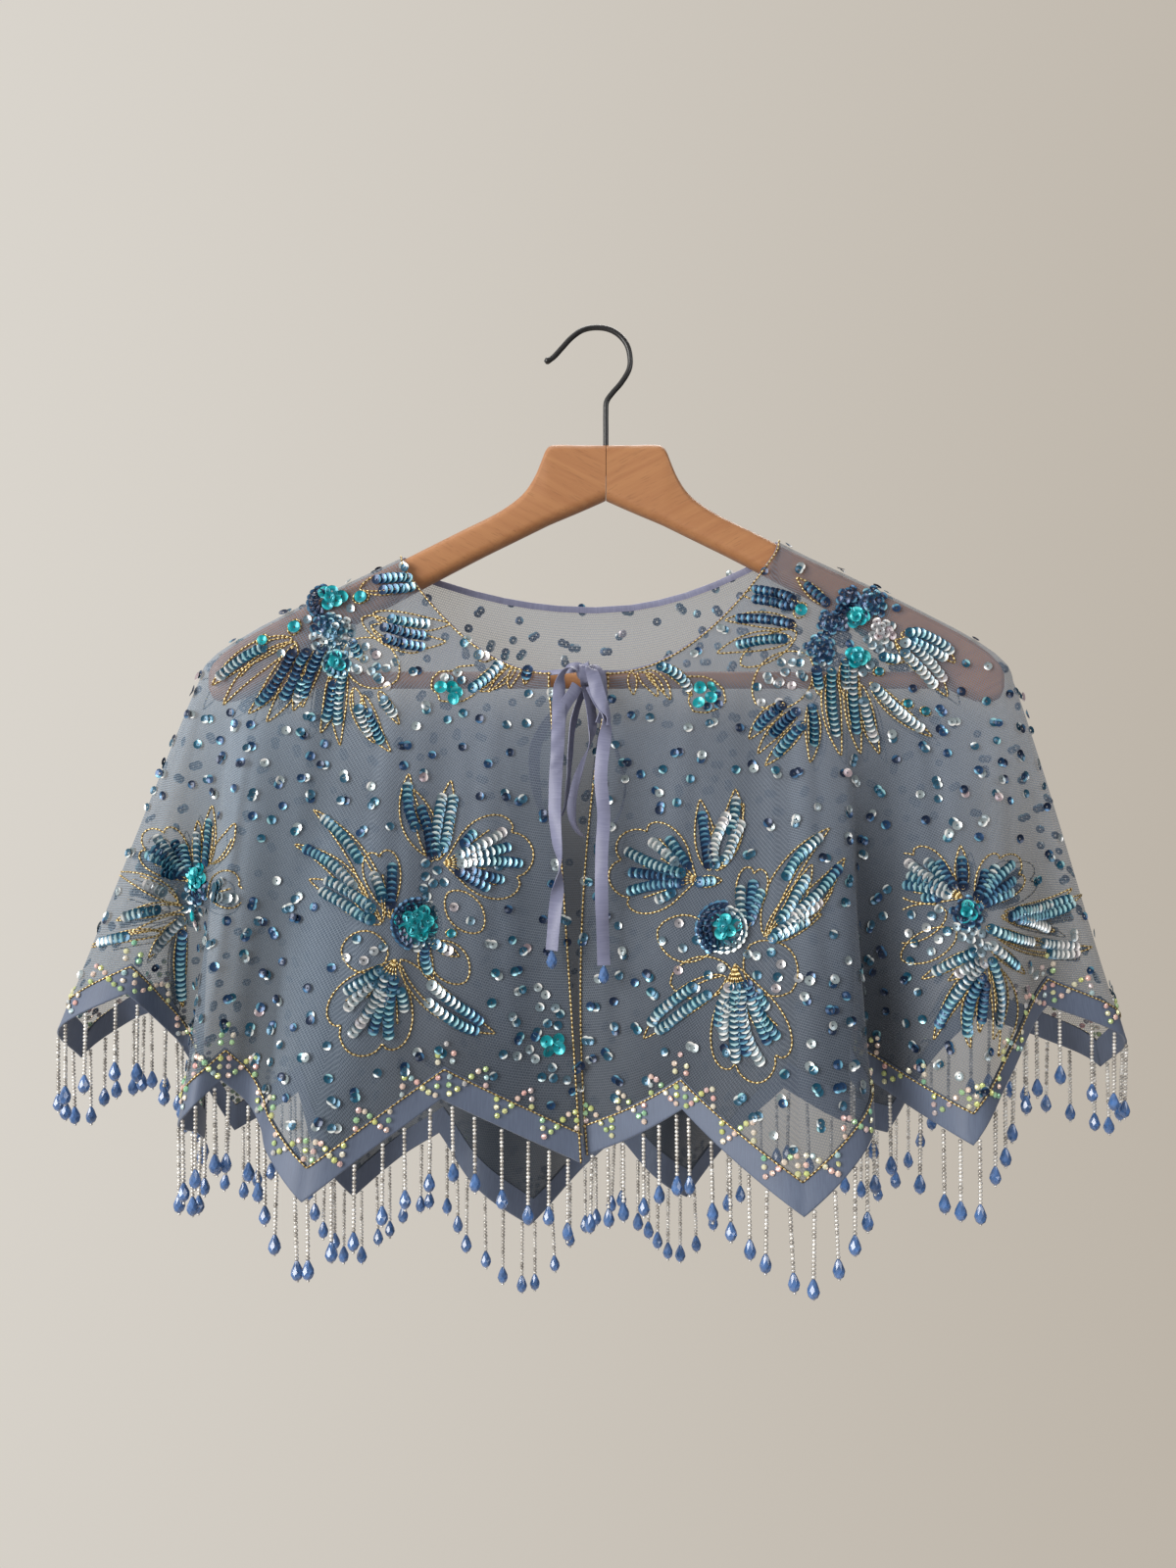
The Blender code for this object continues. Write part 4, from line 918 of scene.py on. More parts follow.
def grain_group():
    """Beech: long faint grain lines with short dark flecks, along X of the mapped space."""
    colours = [("Light", "Color", (1, 1, 1, 1)), ("Dark", "Color", (0, 0, 0, 1))]
    inputs = [("Vector", "Vector", None)] + colours
    outputs = [("Color", "Color"), ("Height", "Float"), ("Rough", "Float")]
    group, start = shader_group("beech grain", inputs, outputs)
    along = (start, "Vector")
    lines = noise(group, stretched(group, along, (9.0, 260.0, 260.0)), 1.0, 6.0, 0.4)
    flecks = noise(group, stretched(group, along, (110.0, 1500.0, 1500.0)))
    share = ramp(group, lines, (0.34, BLACK), (0.68, WHITE))
    base = mix(group, share, (start, "Light"), (start, "Dark"))
    weak = maths(group, "MULTIPLY", ramp(group, flecks, (0.58, BLACK), (0.72, WHITE)), 0.35)
    colour = mix(group, weak, base, (0.16, 0.065, 0.025))
    rough = maths(group, "MULTIPLY_ADD", share, 0.12, 0.4)
    add_node(group, "NodeGroupOutput", {"Color": colour, "Height": share, "Rough": rough})
    return group


def painted_glint_group():
    """Painted glint on a cupped sequin: which part is painted bright, from the map across its own disc."""
    outputs = [("Glint", "Float"), ("Shade", "Float")]
    group, start = shader_group("cupped disc", [("Reach", "Float", 0.6)], outputs)
    where = own_map(group, "disc")
    across = (split(group, where), "X")
    # Painted glint on the side that the sequin before leaves uncovered
    side = ranged(group, across, (0.3, (start, "Reach")), interpolation_type="SMOOTHSTEP")
    from_middle = add_node(group, "ShaderNodeVectorMath", {0: where}, operation="LENGTH")
    # The painted glint fades towards the hole and at the edge
    stops = [(0.0, grey(0.1)), (0.24, grey(0.25)), (0.34, WHITE), (0.86, WHITE), (1.0, grey(0.45))]
    rim = ramp(group, (from_middle, "Value"), *stops)
    add_node(group, "NodeGroupOutput", {"Glint": maths(group, "MULTIPLY", side, rim), "Shade": rim})
    return group


NET = net_group()
TONE = tone_group()
SATIN = satin_group()
GRAIN = grain_group()
PAINTED_GLINT = painted_glint_group()


def new_material(name, **constants):
    """Material with constants set on its own shader's sockets."""
    material = bpy.data.materials.new(name)
    material.use_nodes = True
    tree = material.node_tree
    shader = tree.nodes["Principled BSDF"]
    drive(tree, shader, **constants)
    return material, tree, shader


def drive(tree, node, **values):
    """Feeds a node's sockets by name; an underscore stands for a space."""
    for label, value in values.items():
        feed(tree, node.inputs[label.replace("_", " ")], value)


def use_group(tree, group, **values):
    return add_node(tree, "ShaderNodeGroup", values, node_tree=group)


def bump(tree, shader, height, strength, distance):
    sockets = {"Strength": strength, "Distance": distance, "Height": height}
    drive(tree, shader, Normal=(add_node(tree, "ShaderNodeBump", sockets), "Normal"))


def toned(tree, shader, colour, scale, amount, rough=None):
    """Uneven tone on the shader's colour, and the same patches on its roughness."""
    tone = use_group(tree, TONE, Color=colour, Scale=scale, Amount=amount)
    drive(tree, shader, Base_Color=(tone, "Color"))
    if rough:
        drive(tree, shader, Roughness=ranged(tree, (tone, "Patches"), (0.0, 1.0), rough))


def tulle_material():
    """Sheer net with painted light and shade: brighter higher up, lighter and bluer at the left side,
    darker in the hollows between folds and lighter on their crests, and less see-through where painted
    shade is stored on the cloth.
    """
    material, tree, shader = new_material("tulle", Roughness=0.75, Sheen_Weight=0.3, Sheen_Roughness=0.4)
    net = use_group(tree, NET, Cell=1.6, Thread=0.16)
    threads = mix(tree, (net, "Threads"), (0.07, 0.098, 0.143), (0.15, 0.179, 0.223))
    tone = use_group(tree, TONE, Color=threads, Scale=9.0, Amount=0.45)
    where = split(tree, in_place(tree))
    # Painted light: the net is brighter higher up and darker towards the hem
    painted_height_light = ranged(tree, (where, "Z"), (-0.43, -0.20), (0.66, 1.44))
    # Painted light across the net: lighter and bluer at the left side, a little lighter at the right
    stops = [
        (0.0, (0.80, 0.88, 0.90)),
        (0.2, (0.62, 0.66, 0.66)),
        (0.36, grey(0.5)),
        (0.8, grey(0.5)),
        (1.0, (0.54, 0.58, 0.60)),
    ]
    sides = ramp(tree, ranged(tree, (where, "X"), (-0.30, 0.30)), *stops)
    painted_side_light = mix(tree, 1.0, (tone, "Color"), sides, "MULTIPLY")
    # Painted shade in the hollows between folds, painted light on their crests
    painted_fold_light = maths(tree, "MULTIPLY_ADD", attribute(tree, "hollow"), -1.0, 2.0)
    lit = scaled(tree, painted_side_light, maths(tree, "MULTIPLY", painted_height_light, painted_fold_light))
    openings = ranged(tree, (net, "Threads"), (0.0, 1.0), (0.66, 0.26))
    # Less see-through where painted shade is stored on the cloth
    shaded = maths(tree, "MULTIPLY_ADD", attribute(tree, "fullness"), -0.9, 1.0)
    alpha = maths(tree, "SUBTRACT", 1.0, maths(tree, "MULTIPLY", openings, shaded))
    drive(tree, shader, Base_Color=lit, Alpha=alpha)
    bump(tree, shader, (net, "Height"), 0.3, 0.0002)
    return material


def satin_material(name, colour, pitch, rough, amount=0.18):
    """Woven satin for the hem's band, the neck's binding and the ties."""
    material, tree, shader = new_material(name, Sheen_Weight=0.3, Sheen_Roughness=0.35)
    ribs = use_group(tree, SATIN, Pitch=pitch)
    tone = use_group(tree, TONE, Color=colour, Scale=38.0, Amount=amount)
    slubs = ramp(tree, (ribs, "Slubs"), (0.3, (0.86, 0.86, 0.88)), (0.7, (1.08, 1.08, 1.06)))
    drive(tree, shader, Base_Color=mix(tree, 1.0, (tone, "Color"), slubs, "MULTIPLY"))
    drive(tree, shader, Roughness=ranged(tree, (ribs, "Slubs"), (0.0, 1.0), (rough - 0.08, rough + 0.12)))
    bump(tree, shader, (ribs, "Height"), 0.16, 0.0001)
    return material


def beech_material(name, slope, shift):
    """Beech with its grain along a direction that slopes down by this angle."""
    material, tree, shader = new_material(name, Coat_Weight=0.12, Coat_Roughness=0.35)
    turning = {"Rotation": (0.0, math.radians(slope), 0.0), "Location": (shift, 0.0, shift)}
    turned = add_node(tree, "ShaderNodeMapping", {"Vector": in_place(tree), **turning})
    colours = {"Light": (0.44, 0.205, 0.085), "Dark": (0.385, 0.165, 0.064)}
    grain = use_group(tree, GRAIN, Vector=(turned, "Vector"), **colours)
    drive(tree, shader, Base_Color=(grain, "Color"), Roughness=(grain, "Rough"))
    bump(tree, shader, (grain, "Height"), 0.08, 0.0003)
    return material


def gold_material():
    """Gold thread: two plies whose twist shows as bright and dark slants, a painted highlight on the plies
    and painted shade between them.
    """
    material, tree, shader = new_material("gold thread", Metallic=0.7, Roughness=0.32)
    plies = maths(tree, "SINE", maths(tree, "MULTIPLY", attribute(tree, "lay"), FULL_TURN / (2.3 * MM)))
    painted_ply_light = maths(tree, "MULTIPLY_ADD", plies, 0.5, 0.5)
    stops = [(0.0, (0.13, 0.07, 0.018)), (0.45, (0.66, 0.44, 0.14)), (1.0, (1.0, 0.86, 0.50))]
    toned(tree, shader, ramp(tree, painted_ply_light, *stops), 60.0, 0.3)
    bump(tree, shader, plies, 0.5, 0.0002)
    return material


# Each dye's own colour, and the colour of the painted glint on it
SEQUIN_DYES = table(
    "tint body glint",
    (NAVY, (0.005, 0.017, 0.052), (0.05, 0.16, 0.32)),
    (BLUE, (0.008, 0.045, 0.125), (0.17, 0.45, 0.62)),
    (TEAL, (0.006, 0.085, 0.15), (0.42, 0.78, 0.84)),
    (SILVER, (0.022, 0.095, 0.16), (0.95, 1.0, 0.98)),
    (CLEAR, (0.30, 0.36, 0.38), (1.0, 1.0, 0.98)),
    (PINK, (0.38, 0.30, 0.33), (0.98, 0.88, 0.88)),
    (YELLOW, (0.36, 0.32, 0.06), (0.90, 0.86, 0.34)),
)
TURQUOISE_DYES = table(
    "tint body glint",
    (0.0, (0.0, 0.07, 0.12), (0.0, 0.34, 0.46)),
    (0.5, (0.0, 0.25, 0.31), (0.02, 0.66, 0.72)),
    (1.0, (0.0, 0.38, 0.42), (0.20, 0.92, 0.92)),
)


def dyed_material(name, dyes, metallic, reach):
    """Cupped sequins: their own tint chooses the dye, and one side gets a painted glint."""
    material, tree, shader = new_material(name, Metallic=metallic, Coat_Weight=0.35, Coat_Roughness=0.08)
    tint = attribute(tree, "tint")
    body = ramp(tree, tint, *[(row.tint, row.body) for row in dyes])
    painted_glint_colours = ramp(tree, tint, *[(row.tint, row.glint) for row in dyes])
    disc = use_group(tree, PAINTED_GLINT, Reach=reach)
    toned(tree, shader, mix(tree, (disc, "Glint"), body, painted_glint_colours), 420.0, 0.4, (0.16, 0.36))
    return material


def plain_material(name, colour, scale, amount, rough=None, **constants):
    """Finish with an uneven tone; where colour is a list of stops, each copy's tint chooses."""
    material, tree, shader = new_material(name, **constants)
    if isinstance(colour, list):
        colour = ramp(tree, attribute(tree, "tint"), *colour)
    toned(tree, shader, colour, scale, amount, rough)
    return material


# Coating of the cut stones, from green over yellow to pink
STONE_STOPS = [
    (0.0, (0.28, 0.62, 0.42)),
    (0.3, (0.70, 0.74, 0.26)),
    (0.55, (0.84, 0.80, 0.66)),
    (0.8, (0.86, 0.50, 0.46)),
    (1.0, (0.40, 0.66, 0.70)),
]
STONE_FINISH = {"Metallic": 0.3, "Roughness": 0.14, "Coat_Weight": 0.8, "Coat_Roughness": 0.05}
SEED_STOPS = [(0.0, (0.42, 0.395, 0.365)), (0.4, (0.74, 0.71, 0.66)), (1.0, (1.0, 0.98, 0.94))]
GLASS = (0.095, 0.215, 0.50)
GLASS_FINISH = {
    "Roughness": 0.05, "IOR": 1.55, "Transmission_Weight": 0.3, "Coat_Weight": 0.9, "Coat_Roughness": 0.03,
}
LACQUER = (0.012, 0.012, 0.013)
LACQUER_FINISH = {"Coat_Weight": 0.3, "Coat_Roughness": 0.2}
TULLE = tulle_material()
BAND = satin_material("hem band satin", (0.118, 0.15, 0.225), 0.5, 0.5)
RIBBON = satin_material("lavender ribbon", (0.218, 0.228, 0.345), 0.7, 0.42, 0.34)
BEECH_LEFT = beech_material("beech left", -27.0, 0.3)
BEECH_RIGHT = beech_material("beech right", 27.0, 0.9)
BEECH_BAR = beech_material("beech bar", 0.0, 1.7)
GOLD = gold_material()
SEQUINS = dyed_material("dyed sequins", SEQUIN_DYES, 0.4, 0.74)
TURQUOISE = dyed_material("turquoise sequins", TURQUOISE_DYES, 0.35, 0.8)
STONES = plain_material("coated stones", STONE_STOPS, 700.0, 0.45, **STONE_FINISH)
SEEDS = plain_material("silver seed beads", SEED_STOPS, 240.0, 0.35, (0.2, 0.4), Metallic=0.6)
DROPS = plain_material("blue glass drops", GLASS, 260.0, 0.9, **GLASS_FINISH)
WIRE = plain_material("black lacquered wire", LACQUER, 160.0, 0.5, (0.28, 0.45), **LACQUER_FINISH)

SEQUIN_SHAPE = cup_sequin("sequin_shape", SEQUIN, 0.5, 0.4, 10)
BIG_SEQUIN_SHAPE = cup_sequin("big_sequin_shape", BIG_SEQUIN, 0.5, 0.9, 12)
STONE_RINGS = [(1.62, 0.0), (1.35, 0.7), (0.7, 1.15)]
SEED_RINGS = [(0.42, -0.92), (1.08, -0.42), (1.08, 0.42), (0.42, 0.92)]
STONE_SHAPE = turned_shape("stone_shape", STONE_RINGS, 7, False, (False, True))
SEED_SHAPE = turned_shape("seed_shape", SEED_RINGS, 6, True)
DROP_RINGS = [(0.7, 0.0), (1.75, -1.9), (2.85, -4.6), (3.15, -6.3), (2.3, -8.5), (0.7, -9.8)]
DROP_SHAPE = cut_drop("drop_shape", DROP_RINGS, 7)


# Camera, floor and light


def set_camera():
    camera = add_object("camera", bpy.data.cameras.new("camera"))
    camera.data.lens = LENS
    camera.data.sensor_width = SENSOR
    camera.location = Vector(CAMERA_AT) * MM
    camera.rotation_euler = (math.pi / 2, 0.0, 0.0)
    bpy.context.scene.camera = camera


def set_floor():
    """Plain pale round floor, well below the piece."""
    material = plain_material("pale floor", (0.66, 0.61, 0.56), 3.0, 0.04, Roughness=0.8)
    edge = ring_points([(1700.0, -1900.0)], 96)
    add_mesh("floor", edge, [tuple(range(len(edge)))], material, False)


def set_world():
    """Pale surroundings, brighter on the side of the light and dark below; the camera sees a pale backdrop
    with painted light, lighter to the upper left and darker to the lower right.
    """
    world = bpy.data.worlds.new("soft room")
    bpy.context.scene.world = world
    world.use_nodes = True
    tree = world.node_tree
    where = split(tree, (add_node(tree, "ShaderNodeTexCoord"), "Generated"))
    side = ranged(tree, (where, "X"), (-1.0, 1.0), (1.0, 0.0))
    stops = [(0.0, (0.20, 0.19, 0.19)), (0.55, (0.42, 0.40, 0.38)), (1.0, (0.95, 0.93, 0.90))]
    room = ramp(tree, side, *stops)
    lit = scaled(tree, room, ranged(tree, (where, "Z"), (-0.9, 0.5), (0.35, 1.0)))
    # Painted light on the backdrop: lighter to the upper left, darker to the lower right
    height = maths(tree, "MULTIPLY", (where, "Z"), 0.12)
    diagonal = ranged(tree, maths(tree, "MULTIPLY_ADD", (where, "X"), -1.0, height), (-0.5, 0.48))
    painted_light_backdrop = ramp(tree, diagonal, (0.0, (0.50, 0.45, 0.385)), (1.0, (0.70, 0.665, 0.61)))
    seen = (add_node(tree, "ShaderNodeLightPath"), "Is Camera Ray")
    drive(tree, tree.nodes["Background"], Color=mix(tree, seen, lit, painted_light_backdrop), Strength=1.0)


SOFT_LIGHTS = table(
    "name at aim width height power colour",
    ("window", (-1500, -1500, 100), (0, 0, -300), 1100, 1500, 42.0, (1.0, 0.98, 0.95)),
    ("fill", (1500, -1300, 500), (0, 0, -300), 1200, 900, 9.0, (0.95, 0.97, 1.0)),
    ("top", (-300, 200, 1500), (0, 0, -200), 900, 900, 8.0, (1.0, 0.98, 0.96)),
    ("behind", (300, 1300, 1250), (0, 0, -330), 1200, 700, 14.0, (1.0, 0.99, 0.97)),
)


def set_lights():
    for row in SOFT_LIGHTS:
        lamp = bpy.data.lights.new(row.name, "AREA")
        lamp.shape = "RECTANGLE"
        lamp.size = row.width * MM
        lamp.size_y = row.height * MM
        lamp.energy = row.power
        lamp.color = row.colour
        light = add_object(row.name, lamp)
        light.location = Vector(row.at) * MM
        way = Vector(row.aim) - Vector(row.at)
        light.rotation_euler = way.to_track_quat("-Z", "Y").to_euler()
    bpy.context.scene.view_settings.view_transform = "Standard"


# Hanger

CORNER_STEPS = 6
REACH_STEP = 2.0
CLOSER_REACHES = (30.0, 31.5, 33.0, 34.0, 35.0, 37.0, 208.0, 210.5, HANGER_REACH)
BALL_BLEND = 3.2


def arm_ring(x, y, top, bottom, half_thick):
    """Upright section of a hanger half, with rounded corners."""
    radius = min(SECTION_ROUND, half_thick - 0.5, 0.5 * (top - bottom) - 0.5)
    aside, high, low = half_thick - radius, top - radius, bottom + radius
    middles = ((aside, high), (-aside, high), (-aside, low), (aside, low))
    ring = []
    for corner, (across, height) in enumerate(middles):
        for k in range(CORNER_STEPS + 1):
            angle = 0.5 * math.pi * (corner + k / CORNER_STEPS)
            ring.append((x, y + across + radius * math.cos(angle), height + radius * math.sin(angle)))
    return ring


def hanger_half(name, side, node, material):
    rings = []
    for reach in np.unique(np.concatenate((np.arange(0.0, HANGER_REACH, REACH_STEP), CLOSER_REACHES))):
        top, bottom, half_thick = spline(ARM_STATIONS, float(reach))
        reach = max(reach, 0.5 * MITRE_GAP)
        rings.append(arm_ring(HANGER_X + side * reach, arm_sweep(reach), top, bottom, half_thick))
    if side < 0:
        rings = [ring[::-1] for ring in rings]
    belongs(sweep(name, rings, material), node)


def tube_rings(path, radii, sides):
    """Rings about a path that lies in a plane square to Y."""
    one = np.array((0.0, 1.0, 0.0))
    angles = FULL_TURN * (np.arange(sides) + 0.5) / sides
    rings = []
    for k, (centre, radius) in enumerate(zip(path, radii)):
        two = np.cross(way_along(path, k), one)
        rings.append(centre + radius * (np.outer(np.cos(angles), one) + np.outer(np.sin(angles), two)))
    return rings


def hanger_bar():
    xs = np.linspace(HANGER_X - BAR_REACH, HANGER_X + BAR_REACH, 40)
    path = [np.array((x, BAR_Y, BAR_HEIGHT)) for x in xs]
    rings = tube_rings(path, [BAR_RADIUS] * len(path), 28)
    belongs(sweep("trouser_bar", rings, BEECH_BAR), "hanger_bar")


def hanger_hook():
    """Wire hook with a small ball melted on its end."""
    foot, head = ARM_STATIONS[0].top - STEM_DEPTH, HOOK_POINTS[0].z - 1.0
    path = [np.array((HANGER_X, 0.0, z)) for z in np.linspace(foot, head, 6)]
    path += [np.array((x, 0.0, z)) for x, z in even_points(HOOK_POINTS, 0.9)]
    from_end = np.array([path_length(path[k:]) for k in range(len(path))])
    ball = HOOK_END_BALL * np.sqrt(np.clip(1.0 - (from_end / HOOK_END_BALL - 1.0) ** 2, 0.02, 1.0))
    radii = np.where(from_end < BALL_BLEND, np.maximum(ball, WIRE_RADIUS), WIRE_RADIUS)
    radii = np.where(from_end < HOOK_END_BALL, ball, radii)
    belongs(sweep("wire_hook", tube_rings(path, radii, 20), WIRE), "hanger_hook")


# Ties

RIBBON_ANGLE = 60.0


def ribbon_map(path):
    """Flat map of a ribbon: along it and across it, in metres."""
    one_side = np.linspace(0.0, 1.0, len(FOLD_SHARES))
    across = np.concatenate((one_side, one_side[::-1])) * RIBBON_WIDTH
    return np.array([(s * MM, a * MM) for s in running_lengths(path) for a in across])


def strip(name, node, path, sideways, widths, thick, hollow):
    """Soft closed strip of ribbon; "hollow" gives how it cups at a share across and a step along."""
    rings = []
    for k, (spot, aside, width) in enumerate(zip(path, sideways, widths)):
        way = way_along(path, k)
        across = unit(aside - way * np.dot(aside, way))
        facing = np.cross(way, across)
        middle = [spot + across * s * 0.5 * width + facing * hollow(s, k) for s in FOLD_SHARES]
        off = facing * 0.5 * thick
        rings.append([p + off for p in middle] + [p - off for p in middle[::-1]])
    return belongs(sweep(name, rings, RIBBON, RIBBON_ANGLE, ribbon_map(path)), node)


def ribbon_piece(name, rows, node):
    """Length of ribbon that cups a little, as a piece and its path."""
    spots = even_points(rows, 1.6)
    turned = np.radians(spots[:, 3])
    sideways = np.stack((np.cos(turned), np.sin(turned), 0.0 * turned), 1)

    def hollow(share, k):
        return 0.5 * (1.0 - share**2) + 0.12 * math.sin(0.55 * k) * share

    path = spots[:, :3]
    return strip(name, node, path, sideways, [RIBBON_WIDTH] * len(path), 0.4, hollow), path


def tie_tail(side, rows):
    """One free tail of the bow with the glass drop at its end."""
    piece, path = ribbon_piece("ribbon_tail_" + side, rows, "tie_tail_" + side)
    last = rows[-1]
    top = np.array((last.x, last.y, last.z - DROP_BELOW_TAIL + 0.2))
    spot = Sewn(top, UPWARD, ACROSS, TIE_DROP_LENGTH / DROP_LENGTH, 0.5)
    drop = belongs(sew_on("ribbon_drop_" + side, [spot], DROP_SHAPE, DROPS), "tie_drop_" + side)
    line = [tuple(p * MM) for p in path]
    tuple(line[0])
    path_length(line)


def knot_fold(name, rows):
    """One fold of the knot, cupped across and soft at its edges."""
    spots = even_points(rows, 0.9)

    def hollow(share, k):
        return 0.7 * (1.0 - share**2) + 0.18 * math.sin(2.6 * share + 0.5 * k)

    strip(name, "tie_knot", spots[:, :3], spots[:, 3:6], spots[:, 6], 0.45, hollow)


def tie_knot():
    """Soft knot: ribbon folds that run under one turn of ribbon wrapped round them."""
    knot_fold("knot_band", KNOT_BAND)
    knot_fold("knot_fold_left", LEFT_FOLD)
    knot_fold("knot_fold_right", RIGHT_FOLD)
    knot_fold("knot_fold_under", UNDER_FOLD)
    levels, sides = 11, 16
    core = []
    for height in np.linspace(-1.0, 1.0, levels):
        share = math.sqrt(max(0.0, 1.0 - height**2)) * 0.86 + 0.12
        ring = np.array(ring_points([(share, height)], sides))
        core.append(np.array(KNOT_CENTRE) + 0.34 * np.array(KNOT_SIZE) * ring)
    flat = [(n / sides * 0.03, k / (levels - 1) * 0.01) for k in range(levels) for n in range(sides)]
    belongs(sweep("knot_heart", core, RIBBON, RIBBON_ANGLE, flat), "tie_knot")


# Tulle panels, hem band and neck binding

PANEL_ROWS = table(
    "name least_full most_full hollow_depth cut_width cut_length",
    ("front_left", -0.12, 0.36, 4.4, 0.49, 0.30),
    ("back", -0.12, 1.0, 24.0, 0.95, 0.34),
    ("front_right", -0.16, 0.3, 7.0, 0.50, 0.30),
)
PANEL_ROWS = {row.name: row for row in PANEL_ROWS}
HOLLOW_REACH = 22
# Painted shade added where the cloth lies in a hollow between folds
FOLD_SHADE = 0.28

# Where the painted shade on the cloth starts, growing downwards, and less again at the sides
SHADE_FROM, SHADE_GROWS = -186.0, 40.0
DEEPER_FROM, DEEPER_GROWS = -215.0, 85.0
SIDES_FROM, SIDES_GROW = 172.0, 70.0
MIDDLE_REACH = 100.0

# Front half of the hem band's section, from the top of its front leaf to the fold
HALF_SECTION = table(
    "height off",
    (16.0, 0.45), (12.0, 0.5), (8.0, 0.5), (4.0, 0.52), (1.2, 0.6), (0.3, 0.55), (0.0, 0.0),
)

# Turns along one half of the neckline; those between the arms' two sides share one point
NECK_FRONT = (0.0, 0.12, 0.25, 0.38, 0.5, 0.62, 0.74, 0.84, 0.9, 0.94, 0.955, 0.97, 0.985, 1.0)
NECK_BACK = (5.015, 5.03, 5.045, 5.06, 5.1, 5.2, 5.35, 5.5, 5.65, 5.8)
NECK_SECTION = table(
    "up out",
    (-1, 0.62), (-0.4, 0.7), (0.4, 0.7), (0.92, 0.4), (1.0, 0.0),
    (0.92, -0.4), (0.4, -0.7), (-0.4, -0.7), (-1, -0.62),
)


def fullness(points, least, most):
    """How much painted shade the cloth gets: most in the lower middle, least at the shoulders, where below
    zero it makes the net more see-through.
    """
    from_middle = np.abs(points[:, 0] - HANGER_X)
    below = smooth_step((SHADE_FROM - points[:, 2]) / SHADE_GROWS)
    deeper = np.clip((DEEPER_FROM - points[:, 2]) / DEEPER_GROWS, 0.0, 1.0)
    aside = smooth_step((from_middle - SIDES_FROM) / SIDES_GROW)
    share = (0.75 * below + 0.25 * deeper) * (1.0 - 0.9 * aside)
    least = np.where(from_middle < MIDDLE_REACH, min(0.0, 0.3 * least), least)
    return least + (most - least) * share


def hollow_share(panel):
    """How deep each point lies between the folds beside it; below zero on a fold's crest."""
    width = 2 * HOLLOW_REACH + 1
    padded = np.pad(panel.points, ((HOLLOW_REACH, HOLLOW_REACH), (0, 0), (0, 0)), mode="edge")
    mean = sum(padded[k : k + len(panel.turns)] for k in range(width)) / width
    depth = np.sum((mean - panel.points) * panel.normals, axis=2)
    return np.clip(depth / PANEL_ROWS[panel.name].hollow_depth, -0.25, 1.0).ravel()


def keep_values(piece, name, values):
    """Stores one number for each point of a piece, for its material."""
    piece.data.attributes.new(name, "FLOAT", "POINT").data.foreach_set("value", values)


def tulle_shell(panel):
    """Single layer of net down into the hem's band."""
    columns, rows = panel.points.shape[:2]
    every = np.arange(rows)
    share = np.linspace(0.0, 1.0, rows - WRAP_ROWS)
    grid, flat = panel.points.copy(), panel.flat.copy()
    for i, heights in enumerate(panel.heights):
        top = heights[WRAP_ROWS]
        wanted = top + (BAND_HEIGHT - TULLE_IN_BAND - top) * share
        source = np.interp(wanted, heights[::-1], every[::-1])
        for c in range(3):
            grid[i, WRAP_ROWS:, c] = np.interp(source, every, panel.points[i, :, c])
        flat[i, WRAP_ROWS:, 1] = np.interp(source, every, panel.flat[i, :, 1])
    points = grid.reshape(-1, 3)
    faces = grid_faces(columns, rows)
    shell = add_mesh("tulle_" + panel.name, points, faces, TULLE, True, None, flat.reshape(-1, 2) * MM)
    # Hollows between folds: painted shade in them and painted light on the crests
    deep = hollow_share(panel)
    row = PANEL_ROWS[panel.name]
    # Painted shade stored on each point, for the material
    keep_values(shell, "fullness", fullness(points, row.least_full, row.most_full) + FOLD_SHADE * deep)
    keep_values(shell, "hollow", deep)
    return belongs(shell, panel.name)


def hem_band(panel):
    """Bias band folded round the hem's edge, with the net between its two leaves."""
    section = [tuple(row) for row in HALF_SECTION]
    section += [(row.height, -row.off) for row in HALF_SECTION[-2::-1]]
    heights = [height for height, _ in section]
    around = np.cumsum(np.abs(np.diff(heights, prepend=heights[0])))
    points, flat = [], []
    for turn in panel.turns:
        for (height, off), way_round in zip(section, around):
            place, normal = above_hem(panel, turn, height)
            points.append(place + normal * off)
            flat.append((turn * POINT_PITCH * MM, way_round * MM))
    faces = grid_faces(len(panel.turns), len(section))
    band = add_mesh("hem_binding_" + panel.name, points, faces, BAND, True, None, flat)
    return belongs(band, "hem_band_" + panel.name)


def neck_line(turns):
    """Neckline's edge as rows of place, the strip's two directions and how far it is behind."""
    edges = [rib_top(t, 0.0) for t in turns]
    rows = []
    for k, turn in enumerate(turns):
        way = way_along(edges, k)
        up = unit(edges[k] - rib_top(turn, 0.35))
        up = unit(up - way * np.dot(up, way))
        out = np.cross(up, way)
        ahead = -1.0 if turn < LEFT_SEAM or turn > RIGHT_SEAM else 1.0
        if np.dot(out, (0.0, ahead, 0.15)) < 0.0:
            out = -out
        behind = smooth_step((turn - 1.0) / 0.02) * smooth_step((11.0 - turn) / 0.02)
        rows.append(np.concatenate((edges[k], up, out, (behind,))))
    return rows


